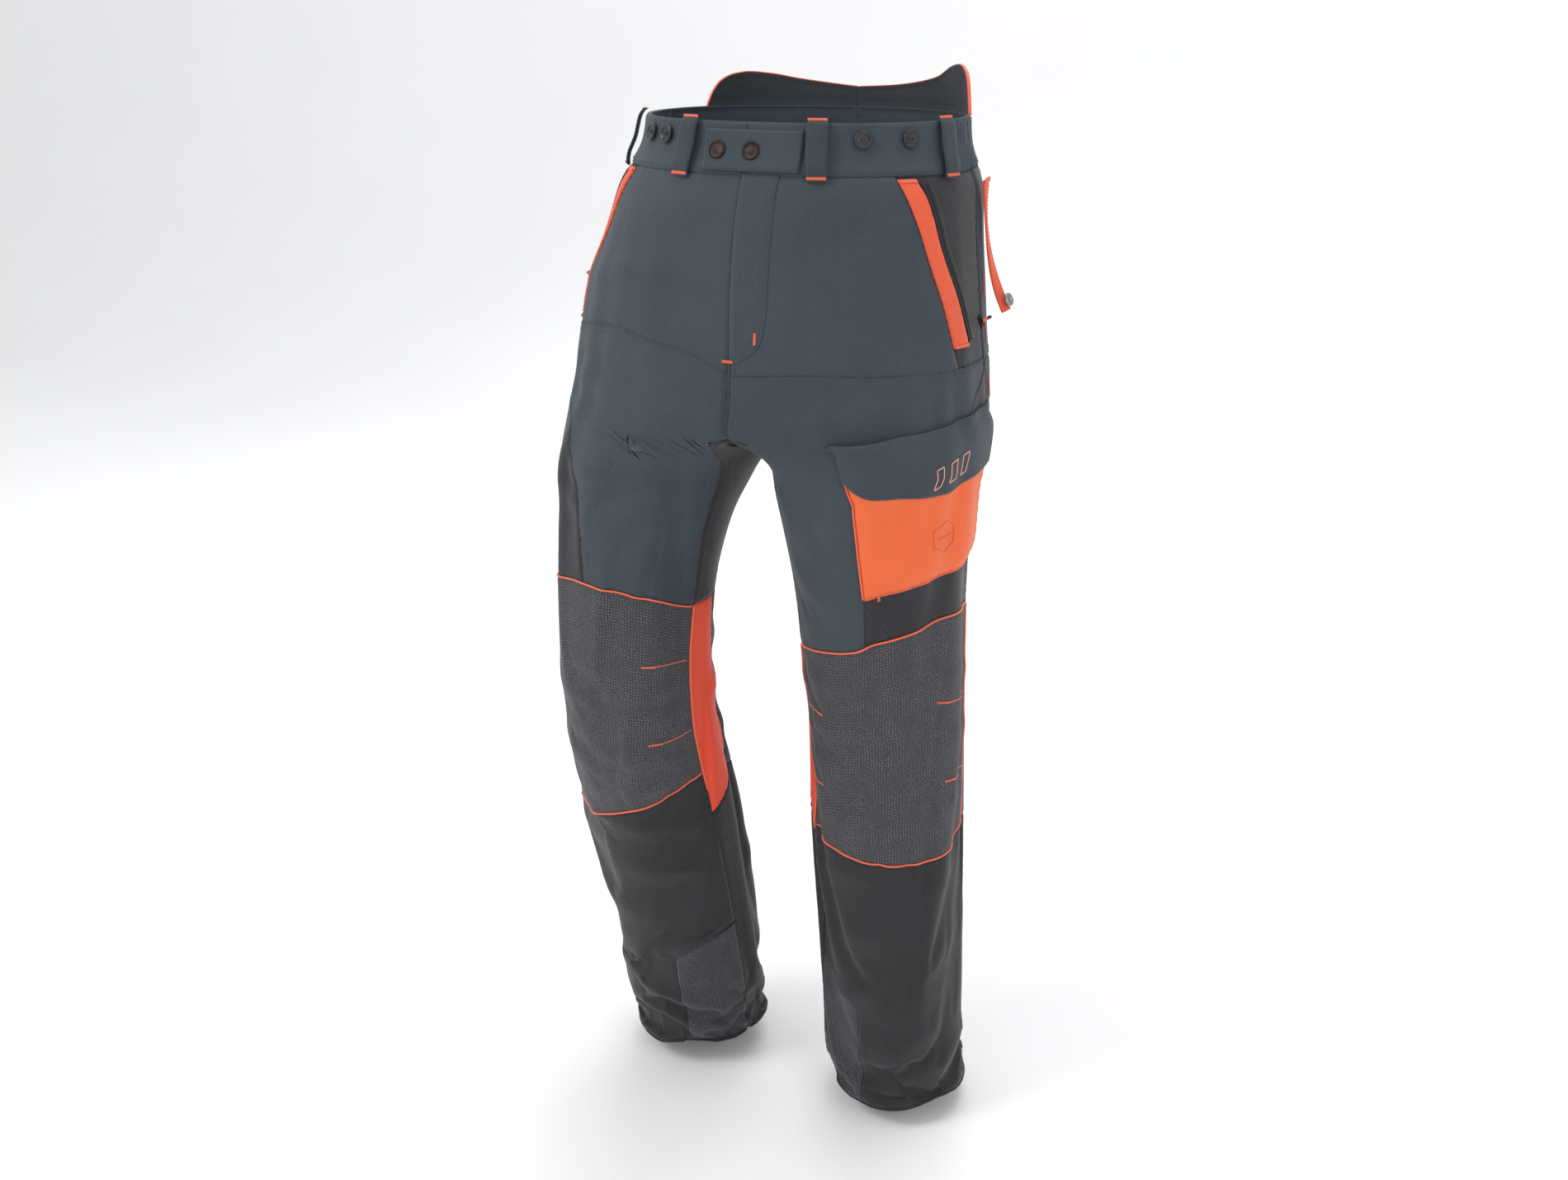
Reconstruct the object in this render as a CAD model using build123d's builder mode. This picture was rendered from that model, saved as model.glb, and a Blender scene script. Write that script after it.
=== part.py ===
from build123d import *
from math import cos, sin, radians
import os

os.makedirs("parts", exist_ok=True)

# ---- driving sizes, millimetres -------------------------------------------------
waist_width = 318.0        # side to side across the middle of the waistband
outseam = 1052.0           # top of the waistband down to the hem
band_height = 45.0         # waistband
band_top = 20.0            # top of the waistband above the origin
flap_height = 40.0         # kidney flap above the waistband
cloth = 3.0                # shell cloth with its lining
pad = 5.0                  # cut-protection pad
clear = 0.4                # air between neighbouring pieces
seam_gap = 0.4             # air between panels that are sewn edge to edge
snap_size = 17.0           # snap cap diameter
button_size = 17.0         # brace button diameter
loop_width = 20.0          # belt loop
belt_room = 6.0            # standoff of a belt loop from the band
trim_thick = 1.6           # tape round a pocket mouth
bag_depth = 6.0            # room inside the cargo pocket
bag_wall = 1.8             # cloth of the cargo pocket
slider_length = 14.0       # zip slider body
pull_length = 22.0         # cord loop and moulded tip on a zip slider
strap_width = 18.0         # tool strap
strap_length = 128.0       # tool strap, hanging

wide = waist_width / 318.0
tall = outseam / 1052.0
hem = -1032.0 * tall
band_low = band_top - band_height

# ---- the figure the cloth hangs on -------------------------------------------------
# height, centre across, centre deep, half width, half depth, squareness, inner arc
left_rows = [
    (92, 0, 10, 150, 125, 2.2, 0),
    (0, 0, 0, 159, 129, 2.2, 0),
    (-45, 0, -10, 176, 138, 2.2, 0),
    (-90, 0, -18, 181, 142, 2.2, 0),
    (-135, 0, -24, 186, 142, 2.3, 0),
    (-175, 0, -28, 190, 140, 2.4, 0),
    (-220, 0, -34, 196, 138, 2.5, 0),
    (-262, 0, -42, 198, 132, 2.7, 0),
    (-290, 100, -48, 97, 119, 2.3, 52),
    (-320, 99, -52, 94, 110, 2.1, 60),
    (-370, 102, -50, 90, 100, 2.0, 60),
    (-435, 106, -46, 84, 90, 2.0, 60),
    (-500, 109, -42, 82, 85, 2.0, 60),
    (-570, 112, -38, 80, 82, 2.0, 60),
    (-700, 114, -32, 79, 80, 2.0, 60),
    (-830, 117, -24, 76, 76, 2.0, 60),
    (-960, 118, -12, 75, 76, 2.0, 60),
    (-1032, 119, -3, 76, 77, 2.0, 60),
]
right_rows = [
    (92, 0, 10, 150, 125, 2.2, 0),
    (0, 0, 0, 159, 129, 2.2, 0),
    (-45, 0, -10, 180, 138, 2.2, 0),
    (-90, 0, -18, 194, 142, 2.2, 0),
    (-135, 0, -24, 212, 142, 2.3, 0),
    (-175, 0, -28, 219, 140, 2.4, 0),
    (-220, 0, -34, 225, 138, 2.5, 0),
    (-262, 0, -56, 224, 130, 2.7, 0),
    (-290, -115, -76, 109, 118, 2.3, 52),
    (-320, -121, -92, 97, 108, 2.1, 60),
    (-370, -128, -112, 86, 93, 2.0, 60),
    (-435, -132, -128, 79, 83, 2.0, 60),
    (-500, -134, -134, 79, 79, 2.0, 60),
    (-570, -136, -126, 80, 80, 2.0, 60),
    (-635, -137, -108, 82, 84, 2.0, 60),
    (-700, -137, -86, 84, 86, 2.0, 60),
    (-765, -136, -66, 83, 84, 2.0, 60),
    (-830, -135, -46, 81, 82, 2.0, 60),
    (-895, -133, -28, 79, 80, 2.0, 60),
    (-960, -132, -14, 77, 77, 2.0, 60),
    (-1032, -130, 0, 74, 74, 2.0, 60),
]


def scaled(rows):
    """The rows at the chosen waist width and outseam."""
    return [
        (r[0] * tall, r[1] * wide, r[2] * wide, r[3] * wide, r[4] * wide, r[5], r[6])
        for r in rows
    ]


body = {1: scaled(left_rows), -1: scaled(right_rows)}


def row_at(side, height):
    """The outline numbers at any height, between the rows above and below it."""
    rows = body[side]
    for upper, lower in zip(rows, rows[1:]):
        if upper[0] >= height >= lower[0]:
            part = (upper[0] - height) / (upper[0] - lower[0])
            return tuple(u + (v - u) * part for u, v in zip(upper, lower))
    return rows[-1]


def rim(side, row, lift, angle):
    """One point of the outline: -90 is the front, 0 the outer side, 90 the back."""
    c = cos(radians(angle))
    s = sin(radians(angle))
    x = (row[3] + lift) * (abs(c) ** (2 / row[5])) * (1 if c >= 0 else -1)
    y = (row[4] + lift) * (abs(s) ** (2 / row[5])) * (1 if s >= 0 else -1)
    return (row[1] + side * x, row[2] + y)


def outline(side, row, lift, edge):
    """A closed face: half the seat above the crotch, a whole leg below it."""
    arc = row[6]
    ends = 90 if arc == 0 else 180 - arc
    steps = 14
    outer = [rim(side, row, lift, -ends + 2 * ends * i / steps) for i in range(steps + 1)]
    if arc == 0:
        outer[0] = (side * edge, outer[0][1])
        outer[-1] = (side * edge, outer[-1][1])
    inner = [rim(side, row, lift, ends + 2 * arc * i / 4) for i in range(5)]
    inner[0] = outer[-1]
    inner[-1] = outer[0]
    with BuildSketch(Plane.XY.offset(row[0])) as shape:
        with BuildLine():
            Spline(*outer)
            if arc == 0:
                Line(outer[-1], outer[0])
            else:
                Spline(*inner)
        make_face()
    return shape.sketch.face()


def rows_between(side, top, bottom):
    """The rows from one height to another, with both ends put in."""
    middle = [r for r in body[side] if bottom + 1 < r[0] < top - 1]
    return [row_at(side, top)] + middle + [row_at(side, bottom)]


def sleeve(side, top, bottom, inside, outside, edge=seam_gap / 2):
    """A hollow wall round the seat or leg, between two lifts off the cloth face."""
    rows = rows_between(side, top, bottom)
    loft([outline(side, row, outside, edge) for row in rows], ruled=True)
    loft([outline(side, row, inside, -5.0) for row in rows], ruled=True, mode=Mode.SUBTRACT)


def view(side, heading):
    """An upright drawing plane: its first axis runs outward, turned by the heading."""
    out = Vector(side * cos(radians(heading)), sin(radians(heading)), 0)
    return Plane(origin=(0, 0, 0), x_dir=out, z_dir=out.cross(Vector(0, 0, 1)))


def window(side, heading, points, mode=Mode.INTERSECT):
    """Keeps or cuts what lies inside a flat shape, seen square on from that heading."""
    with BuildSketch(view(side, heading)) as shape:
        with BuildLine():
            Polyline(*[(p[0] * wide, p[1] * tall) for p in points], close=True)
        make_face()
    extrude(shape.sketch, amount=700, both=True, mode=mode)


def beside_seam(side, heading, shift, front, gap=seam_gap / 2):
    """Keeps the cloth in front of a seam that follows the leg down, or behind it."""
    out = Vector(side * cos(radians(heading)), sin(radians(heading)), 0)
    line = []
    for row in body[side]:
        if row[6] > 0:
            deep = row[1] * out.X + row[2] * out.Y + shift * wide
            line.append((deep + gap if front else deep - gap, row[0]))
    line = [(line[0][0], 100.0)] + line + [(line[-1][0], -1200.0 * tall)]
    far = 900.0 if front else -900.0
    with BuildSketch(view(side, heading)) as shape:
        with BuildLine():
            Polyline(*line, (far, line[-1][1]), (far, line[0][1]), close=True)
        make_face()
    extrude(shape.sketch, amount=700, both=True, mode=Mode.INTERSECT)


def before(deep, front, gap=seam_gap / 2):
    """Keeps the front or the back of the seat, either side of one upright plane."""
    deep = deep * wide
    near = deep - gap if front else deep + gap
    far = -600.0 if front else 600.0
    with BuildSketch(Plane.XY.offset(-1300)) as shape:
        with BuildLine():
            Polyline((-600, near), (600, near), (600, far), (-600, far), close=True)
        make_face()
    extrude(shape.sketch, amount=1600, mode=Mode.INTERSECT)


def place(side, height, angle, lift):
    """A plane lying on the cloth, facing outward, for a piece of hardware."""
    height = height * tall
    here = rim(side, row_at(side, height), lift, angle)
    after = rim(side, row_at(side, height), lift, angle + 1)
    lower = rim(side, row_at(side, height - 4), lift, angle)
    along = Vector(after[0] - here[0], after[1] - here[1], 0).normalized()
    down = Vector(lower[0] - here[0], lower[1] - here[1], -4).normalized()
    out = along.cross(down).normalized() * side * -1
    if out.X * cos(radians(angle)) * side + out.Y * sin(radians(angle)) < 0:
        out = out * -1
    return Plane(origin=(here[0], here[1], height), x_dir=along, z_dir=out)


def keep(piece, name):
    """Labels a finished piece and writes its file."""
    piece.part.label = name
    export_step(piece.part, "parts/" + name + ".step")


def name_of(word, side):
    return word + ("_left" if side == 1 else "_right")


# ---- seam lines, half-body view: distance out from the centre, height ----------------
side_seam = -13.0            # depth of the side seam of the seat
turn = {1: -63.0, -1: -84.0}  # heading of the front of each leg
seam_ahead = 12.0            # how far the leg seams lie in front of its middle
yoke = {1: [(0, -203), (92, -197), (195, -197), (260, -197)],
        -1: [(0, -203), (34, -188), (86, -178), (134, -170), (205, -178), (260, -182)]}
knee_top = {1: [(-40, -511), (42, -486), (106, -467), (150, -453), (186, -442), (260, -438)],
            -1: [(0, -448), (56, -440), (83, -424), (111, -417), (149, -414), (260, -420)]}
knee_low = {1: [(-40, -693), (260, -688)],
            -1: [(0, -622), (59, -638), (97, -658), (124, -668), (183, -688), (260, -705)]}
stripe_line = {1: [(214, -254), (178, -274), (162, -316), (154, -364), (149, -412), (147, -520)],
               -1: [(236, -240), (213, -254), (178, -274), (162, -316), (154, -364), (149, -412),
                    (146, -520)]}
mouth_line = [(126, 10), (136, -29), (149, -54), (166, -101), (179, -146), (186, -178), (191, -206)]


def above(line, bottom=-1200, gap=seam_gap / 2):
    """The shape over a seam line."""
    return [(p[0], p[1] + gap) for p in line] + [(line[-1][0], 120), (line[0][0], 120)]


def below(line, gap=seam_gap / 2):
    """The shape under a seam line."""
    return [(p[0], p[1] - gap) for p in line] + [(line[-1][0], -1200), (line[0][0], -1200)]


def inward(line, gap=seam_gap / 2):
    """The shape on the centre side of an upright seam line."""
    return [(p[0] - gap, p[1]) for p in line] + [(-60, line[-1][1]), (-60, line[0][1])]


def outward(line, gap=seam_gap / 2):
    """The shape on the outer side of an upright seam line."""
    return [(p[0] + gap, p[1]) for p in line] + [(320, line[-1][1]), (320, line[0][1])]


def front_of_leg(side, gap=seam_gap / 2):
    beside_seam(side, turn[side], seam_ahead, True, gap)


def back_of_leg(side, gap=seam_gap / 2):
    beside_seam(side, turn[side], seam_ahead, False, gap)


def inner_strip(side, top, bottom, behind, gap):
    """The panel on the inside of the leg, from its front seam to a line behind."""
    sleeve(side, top * tall, bottom * tall, -cloth - 1, 1)
    back_of_leg(side, gap)
    beside_seam(side, -90, -behind, True, gap)
    beside_seam(side, 0, 0, False, gap)


# ---- seat, thighs, knees and shins -------------------------------------------------
crotch = -290.0
back_knee_top = {1: -462, -1: -436}
back_knee_low = {1: -690, -1: -650}
knee_tip = {1: -697, -1: -690}
seat_low = {1: [(-20, -250), (185, -198), (320, -198)], -1: [(-20, -250), (200, -183), (320, -183)]}
ankle = [(-60, -815), (61, -860), (107, -897), (109, -1200), (-60, -1200)]
skin_top = band_low - seam_gap

for side in (1, -1):
    with BuildPart() as front_panel:
        sleeve(side, skin_top, -225 * tall, -cloth, 0)
        before(side_seam, True)
        window(side, 0, above(yoke[side]))
        window(side, 0, inward(mouth_line))
    keep(front_panel, name_of("front_panel", side))

    with BuildPart() as side_panel:
        sleeve(side, skin_top, -225 * tall, -cloth, 0)
        before(side_seam, True)
        window(side, 0, above(yoke[side]))
        window(side, 0, outward(mouth_line))
    keep(side_panel, name_of("side_panel", side))

    with BuildPart() as seat_panel:
        sleeve(side, skin_top, -262 * tall, -cloth, 0)
        before(side_seam, False)
        window(side, 0, above(seat_low[side]))
    keep(seat_panel, name_of("seat_panel", side))

    with BuildPart() as thigh_panel:
        sleeve(side, -150 * tall, -520 * tall, -cloth, 0)
        front_of_leg(side)
        window(side, 0, below(yoke[side]))
        window(side, 0, above(knee_top[side]))
        window(side, 0, outward(stripe_line[side], 0), Mode.SUBTRACT)
    keep(thigh_panel, name_of("thigh_panel", side))

    with BuildPart() as outer_stripe:
        sleeve(side, -200 * tall, -520 * tall, -cloth, 0)
        front_of_leg(side)
        window(side, 0, above(knee_top[side]))
        window(side, 0, outward(stripe_line[side], seam_gap))
    keep(outer_stripe, name_of("outer_stripe", side))

    with BuildPart() as inner_thigh:
        sleeve(side, crotch * tall - seam_gap, back_knee_top[side] * tall, -cloth, 0)
        back_of_leg(side)
        beside_seam(side, -90, -35, True)
        beside_seam(side, 0, 0, False)
    keep(inner_thigh, name_of("inner_thigh", side))

    with BuildPart() as inner_cut:
        inner_strip(side, crotch, back_knee_top[side] - 1, 35, -seam_gap / 2)
    with BuildPart() as back_thigh:
        sleeve(side, -180 * tall, back_knee_top[side] * tall, -cloth, 0)
        back_of_leg(side)
        window(side, 0, below(seat_low[side]))
        add(inner_cut.part, mode=Mode.SUBTRACT)
    keep(back_thigh, name_of("back_thigh", side))

    with BuildPart() as knee_patch:
        sleeve(side, -405 * tall, -715 * tall, -cloth, 0)
        front_of_leg(side)
        window(side, 0, below(knee_top[side]))
        window(side, 0, above(knee_low[side]))
    keep(knee_patch, name_of("knee_patch", side))

    with BuildPart() as knee_inner:
        sleeve(side, back_knee_top[side] * tall - seam_gap, knee_tip[side] * tall, -cloth, 0)
        back_of_leg(side)
        beside_seam(side, -90, -28, True)
        beside_seam(side, 0, 0, False)
    keep(knee_inner, name_of("knee_inner", side))

    with BuildPart() as tip_cut:
        inner_strip(side, back_knee_top[side] + 2, knee_tip[side] - seam_gap, 28, -seam_gap / 2)
    with BuildPart() as knee_back:
        sleeve(side, back_knee_top[side] * tall - seam_gap, back_knee_low[side] * tall, -cloth, 0)
        back_of_leg(side)
        add(tip_cut.part, mode=Mode.SUBTRACT)
    keep(knee_back, name_of("knee_back", side))

    with BuildPart() as shin_panel:
        sleeve(side, -620 * tall, hem, -cloth, 0)
        front_of_leg(side)
        window(side, 0, below(knee_low[side]))
        window(side, 0, ankle, Mode.SUBTRACT)
    keep(shin_panel, name_of("shin_panel", side))

    with BuildPart() as ankle_patch:
        sleeve(side, -800 * tall, hem, -cloth, 0)
        front_of_leg(side)
        window(side, 0, [(p[0] - seam_gap, p[1] - seam_gap) for p in ankle])
    keep(ankle_patch, name_of("ankle_patch", side))

    with BuildPart() as calf_panel:
        sleeve(side, back_knee_low[side] * tall - seam_gap, hem, -cloth, 0)
        back_of_leg(side)
        add(tip_cut.part, mode=Mode.SUBTRACT)
    keep(calf_panel, name_of("calf_panel", side))

    with BuildPart() as cut_pad_thigh:
        sleeve(side, -225 * tall, (back_knee_top[side] + 12) * tall, -cloth - clear - pad, -cloth - clear)
        front_of_leg(side, 6.0)
        window(side, 0, [(8, -100), (300, -100), (300, -600), (8, -600)])
    keep(cut_pad_thigh, name_of("cut_pad_thigh", side))

    with BuildPart() as cut_pad_shin:
        sleeve(side, -712 * tall, -1012 * tall, -cloth - clear - pad, -cloth - clear)
        front_of_leg(side, 6.0)
    keep(cut_pad_shin, name_of("cut_pad_shin", side))

# ---- waistband, kidney flap, tab, loops -----------------------------------------------
for side in (1, -1):
    with BuildPart() as band_front:
        sleeve(side, band_top, band_low, -cloth, 0)
        before(side_seam, True)
    keep(band_front, name_of("waistband_front", side))

with BuildPart() as waistband_back:
    for side in (1, -1):
        with BuildPart(mode=Mode.PRIVATE) as half:
            sleeve(side, band_top, band_low, -cloth, 0, 0)
            before(side_seam, False)
        add(half.part)
keep(waistband_back, "waistband_back")

ears = [(-1, clear), (136, clear), (134, 14), (128, 30), (118, 39), (106, 40), (90, 34), (60, 24),
        (30, 20), (-1, 19)]
ears = [(p[0] * wide, band_top + p[1] * flap_height / 40.0) for p in ears]
with BuildPart() as kidney_flap:
    for side in (1, -1):
        with BuildPart(mode=Mode.PRIVATE) as half:
            sleeve(side, band_top + flap_height + 2, band_top + clear, -cloth, 0, 0)
            before(4, False)
            window(side, 0, ears)
        add(half.part)
keep(kidney_flap, "kidney_flap")

tab_reach = 42.0
tab_root = 53.0
tab_lift = clear + 0.2
tab_top = band_top - 7.0
tab_low = band_low + 2.0


def band_face(height, lift, across):
    """How far forward the band's face lies, at a distance across from the middle."""
    row = row_at(1, height)
    return row[2] - (row[4] + lift) * (1 - abs(across / (row[3] + lift)) ** row[5]) ** (1 / row[5])


def tab_outline(height):
    """The tab's section at one height, following the front of the band."""
    stations = [-tab_reach + (tab_reach + tab_root) * i / 6 for i in range(7)]
    face = [(x, band_face(height, tab_lift + cloth, x)) for x in stations]
    back = [(x, band_face(height, tab_lift, x)) for x in reversed(stations)]
    with BuildSketch(Plane.XY.offset(height)) as shape:
        with BuildLine():
            Spline(*face)
            Line(face[-1], back[0])
            Spline(*back)
            Line(back[-1], face[0])
        make_face()
    return shape.sketch.face()


with BuildPart() as waist_tab:
    loft([tab_outline(tab_top), tab_outline(0), tab_outline(tab_low)], ruled=True)
keep(waist_tab, "waist_tab")

tab_face = tab_lift + cloth
snap_spots = [(-1, -82.0), (1, -88.5)]
snap_height = -6.0
for number, (side, angle) in enumerate(snap_spots, 1):
    with BuildPart() as snap_cap:
        with BuildSketch(place(side, snap_height, angle, tab_face + clear)) as shape:
            Circle(snap_size / 2)
        extrude(shape.sketch, amount=1.4)
        fillet(snap_cap.edges().filter_by(GeomType.CIRCLE).sort_by(Axis.Y)[0], 0.6)
    keep(snap_cap, "snap_cap_" + str(number))

button_spots = [(1, -53.0), (1, -35.0), (-1, -58.0), (-1, -47.0)]
button_height = 5.0
for number, (side, angle) in enumerate(button_spots, 1):
    with BuildPart() as brace_button:
        with BuildSketch(place(side, button_height, angle, clear + 0.5)) as shape:
            Circle(button_size / 2)
            with GridLocations(3.6, 3.6, 2, 2):
                Circle(0.9, mode=Mode.SUBTRACT)
        extrude(shape.sketch, amount=3.0)
    keep(brace_button, "brace_button_" + str(number))

# heading round the band of the middle of each loop
loop_spots = {"front_left": (1, -68.0), "side_left": (1, -16.0), "front_right": (-1, -70.0),
              "side_right": (-1, -20.0)}
for name, (side, angle) in loop_spots.items():
    middle = rim(side, row_at(side, (band_top + band_low) / 2), 0, angle)
    head = angle + 90
    across = side * cos(radians(head)) * middle[0] + sin(radians(head)) * middle[1]
    left = across / wide - loop_width / 2
    right = across / wide + loop_width / 2
    with BuildPart() as belt_loop:
        sleeve(side, band_top + 3, band_low - 6, clear, clear + belt_room + 2.0)
        window(side, head, [(left, 50), (right, 50), (right, -90), (left, -90)])
        before(30, True)
        with BuildPart(mode=Mode.PRIVATE) as room:
            sleeve(side, band_top - 4, band_low + 1, clear - 1, clear + belt_room)
        add(room.part, mode=Mode.SUBTRACT)
    keep(belt_loop, "belt_loop_" + name)

with BuildPart() as belt_loop_back:
    for side in (1, -1):
        with BuildPart(mode=Mode.PRIVATE) as half:
            sleeve(side, band_top - 1, band_low - 6, clear, clear + belt_room + 2.0, 0)
            before(60, False)
            window(side, 0, [(-1, 50), (loop_width / 2, 50), (loop_width / 2, -90), (-1, -90)])
        with BuildPart(mode=Mode.PRIVATE) as room:
            sleeve(side, band_top - 6, band_low + 1, clear - 1, clear + belt_room, 0)
        add(half.part)
        add(room.part, mode=Mode.SUBTRACT)
keep(belt_loop_back, "belt_loop_back")

# ---- fly, pocket mouths, zip sliders and their pulls -----------------------------------
fly_width = 31.0
fly_foot = -188.0
fly_turn = 26.0
with BuildPart() as fly_placket:
    sleeve(1, skin_top - 1, fly_foot * tall, clear, clear + trim_thick)
    with BuildSketch(view(1, 0)) as shape:
        with BuildLine():
            Line((0, 0), (fly_width, 0))
            Line((fly_width, 0), (fly_width, fly_foot * tall + fly_turn))
            RadiusArc((fly_width, fly_foot * tall + fly_turn), (6, fly_foot * tall), 28)
            Line((6, fly_foot * tall), (0, fly_foot * tall))
            Line((0, fly_foot * tall), (0, 0))
        make_face()
    extrude(shape.sketch, amount=400, mode=Mode.INTERSECT)
keep(fly_placket, "fly_placket")

trim_view = 45.0
trim_shape = [(26, -28.5), (42, -28.5), (50, -44), (63, -88), (86, -141), (98, -181), (76, -178),
              (67, -146), (52, -101), (36, -54)]
slide_from = {1: (-160, -1.0), -1: (-140, -9.0)}
slide_to = (-44, -27.0)
slider_lift = clear + trim_thick + 2.0
for side in (1, -1):
    with BuildPart() as pocket_trim:
        sleeve(side, skin_top, -185 * tall, clear, clear + trim_thick)
        before(side_seam + 4, True)
        window(side, trim_view, trim_shape)
    keep(pocket_trim, name_of("pocket_trim", side))

    low = place(side, slide_from[side][0], slide_from[side][1], slider_lift)
    high = place(side, slide_to[0], slide_to[1], slider_lift + 7.0)
    way = Vector(*high.origin) - Vector(*low.origin)
    runs = Plane(origin=low.origin, x_dir=way.cross(low.z_dir), z_dir=low.z_dir)
    with BuildPart() as pocket_slider:
        with BuildSketch(runs) as shape:
            RectangleRounded(8.0, slider_length, 2.0)
        extrude(shape.sketch, amount=2.6)
        fillet(pocket_slider.faces().sort_by(SortBy.AREA)[-1].edges(), 0.6)
    keep(pocket_slider, name_of("pocket_slider", side))

    hung = Plane(origin=low.offset(2.6 + clear).origin, x_dir=low.x_dir, z_dir=low.z_dir)
    lean = hung.rotated((0, -28, 0))
    with BuildPart() as pocket_pull:
        with BuildSketch(lean.offset(1.5)) as shape:
            with Locations((pull_length / 2, 0)):
                SlotOverall(pull_length, 6.0)
        extrude(shape.sketch, amount=3.2)
    keep(pocket_pull, name_of("pocket_pull", side))

# ---- tool strap at the left hip --------------------------------------------------------
strap_top = Vector(180 * wide, 4, -34)
strap_thick = 2.2
with BuildPart() as tool_strap:
    with BuildSketch(Plane(origin=(0, strap_top.Y + strap_width / 2, 0), x_dir=(1, 0, 0), z_dir=(0, -1, 0))) as shape:
        with BuildLine() as path:
            FilletPolyline(
                (strap_top.X, strap_top.Z),
                (strap_top.X + 6, strap_top.Z - 0.36 * strap_length),
                (strap_top.X + 22, strap_top.Z - 0.72 * strap_length),
                (strap_top.X + 30, strap_top.Z - 0.96 * strap_length),
                radius=40,
            )
        trace(path.line, line_width=strap_thick)
    extrude(shape.sketch, amount=strap_width)
keep(tool_strap, "tool_strap")

with BuildPart() as strap_snap:
    foot = Plane(
        origin=(strap_top.X + 26 + strap_thick, strap_top.Y, strap_top.Z - 0.86 * strap_length),
        x_dir=(0, 1, 0),
        z_dir=(0.955, 0, 0.297),
    )
    with BuildSketch(foot) as shape:
        Circle(6.5)
        Circle(2.6, mode=Mode.SUBTRACT)
    extrude(shape.sketch, amount=2.4)
keep(strap_snap, "strap_snap")

# ---- cargo pocket on the left thigh ------------------------------------------------------
bag_face = clear + 2 * bag_wall + bag_depth
bag_edge = [(107, -256), (124, -412), (169, -400), (187, -392), (240, -392), (240, -256)]
bag_room = [(110, -200), (127, -408), (168, -396), (187, -388), (240, -388), (240, -200)]
bag_back = 8.0
with BuildPart() as bag_hollow:
    sleeve(1, -250 * tall, -412 * tall, clear + bag_wall, clear + bag_wall + bag_depth)
    before(bag_back - bag_wall, True)
    window(1, 0, bag_room)
with BuildPart() as cargo_pocket:
    sleeve(1, -256 * tall, -413 * tall, clear, bag_face)
    before(bag_back, True)
    window(1, 0, bag_edge)
    add(bag_hollow.part, mode=Mode.SUBTRACT)
keep(cargo_pocket, "cargo_pocket")

flap_shape = [(104, -255), (150, -250), (200, -238), (240, -238), (240, -294), (200, -297), (186, -306),
              (150, -304), (124, -298), (115, -289)]
with BuildPart() as cargo_flap:
    sleeve(1, -230 * tall, -310 * tall, bag_face + clear, bag_face + clear + 2.2)
    before(bag_back, True)
    window(1, 0, flap_shape)
keep(cargo_flap, "cargo_flap")

for number, (side, angle) in enumerate(snap_spots, 1):
    with BuildPart() as snap_stud:
        with BuildSketch(place(side, snap_height, angle, -cloth - clear)) as shape:
            Circle(snap_size / 2 - 2)
        extrude(shape.sketch, amount=-1.2)
    keep(snap_stud, "snap_stud_" + str(number))
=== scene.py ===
import bpy
import numpy as np
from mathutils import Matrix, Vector


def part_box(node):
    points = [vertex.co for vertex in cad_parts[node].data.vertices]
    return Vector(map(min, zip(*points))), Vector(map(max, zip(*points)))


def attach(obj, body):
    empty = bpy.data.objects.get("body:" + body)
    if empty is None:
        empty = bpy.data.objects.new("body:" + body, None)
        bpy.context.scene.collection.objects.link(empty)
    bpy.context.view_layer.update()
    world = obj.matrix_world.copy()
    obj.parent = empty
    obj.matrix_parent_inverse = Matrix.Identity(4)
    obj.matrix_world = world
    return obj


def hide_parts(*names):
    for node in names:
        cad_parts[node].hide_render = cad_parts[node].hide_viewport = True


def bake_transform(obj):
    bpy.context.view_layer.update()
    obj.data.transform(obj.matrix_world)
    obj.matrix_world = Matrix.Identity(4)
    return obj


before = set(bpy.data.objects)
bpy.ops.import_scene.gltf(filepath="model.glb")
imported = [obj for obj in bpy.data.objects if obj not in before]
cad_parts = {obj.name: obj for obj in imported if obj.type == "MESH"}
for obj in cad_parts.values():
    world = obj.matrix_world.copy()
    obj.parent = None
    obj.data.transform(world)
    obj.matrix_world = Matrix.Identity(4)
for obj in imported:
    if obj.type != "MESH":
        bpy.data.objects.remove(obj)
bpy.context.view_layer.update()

MM = 0.001
LEFT, RIGHT = 1, -1
NAMES = {LEFT: "left", RIGHT: "right"}
SHIN = {LEFT: "shin_left", RIGHT: "shin_right"}

# ---- camera: eye level just above the waist, an arm's reach to the wearer's left ------
heading = np.radians(25.0)
distance = 1.635
pitch = np.radians(19.8)
to_right = np.array([np.cos(heading), np.sin(heading), 0])
level = np.array([-np.sin(heading), np.cos(heading), 0])
eye = -distance * level - 0.0215 * to_right + np.array([0, 0, 0.122])
look = level * np.cos(pitch) - np.array([0, 0, np.sin(pitch)])
camera_data = bpy.data.cameras.new("camera")
camera_data.sensor_width = 36.0
camera_data.lens = 37.6
camera = bpy.data.objects.new("camera", camera_data)
bpy.context.collection.objects.link(camera)
camera.location = eye
camera.rotation_euler = Vector(look).to_track_quat("-Z", "Y").to_euler()
bpy.context.scene.camera = camera

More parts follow.
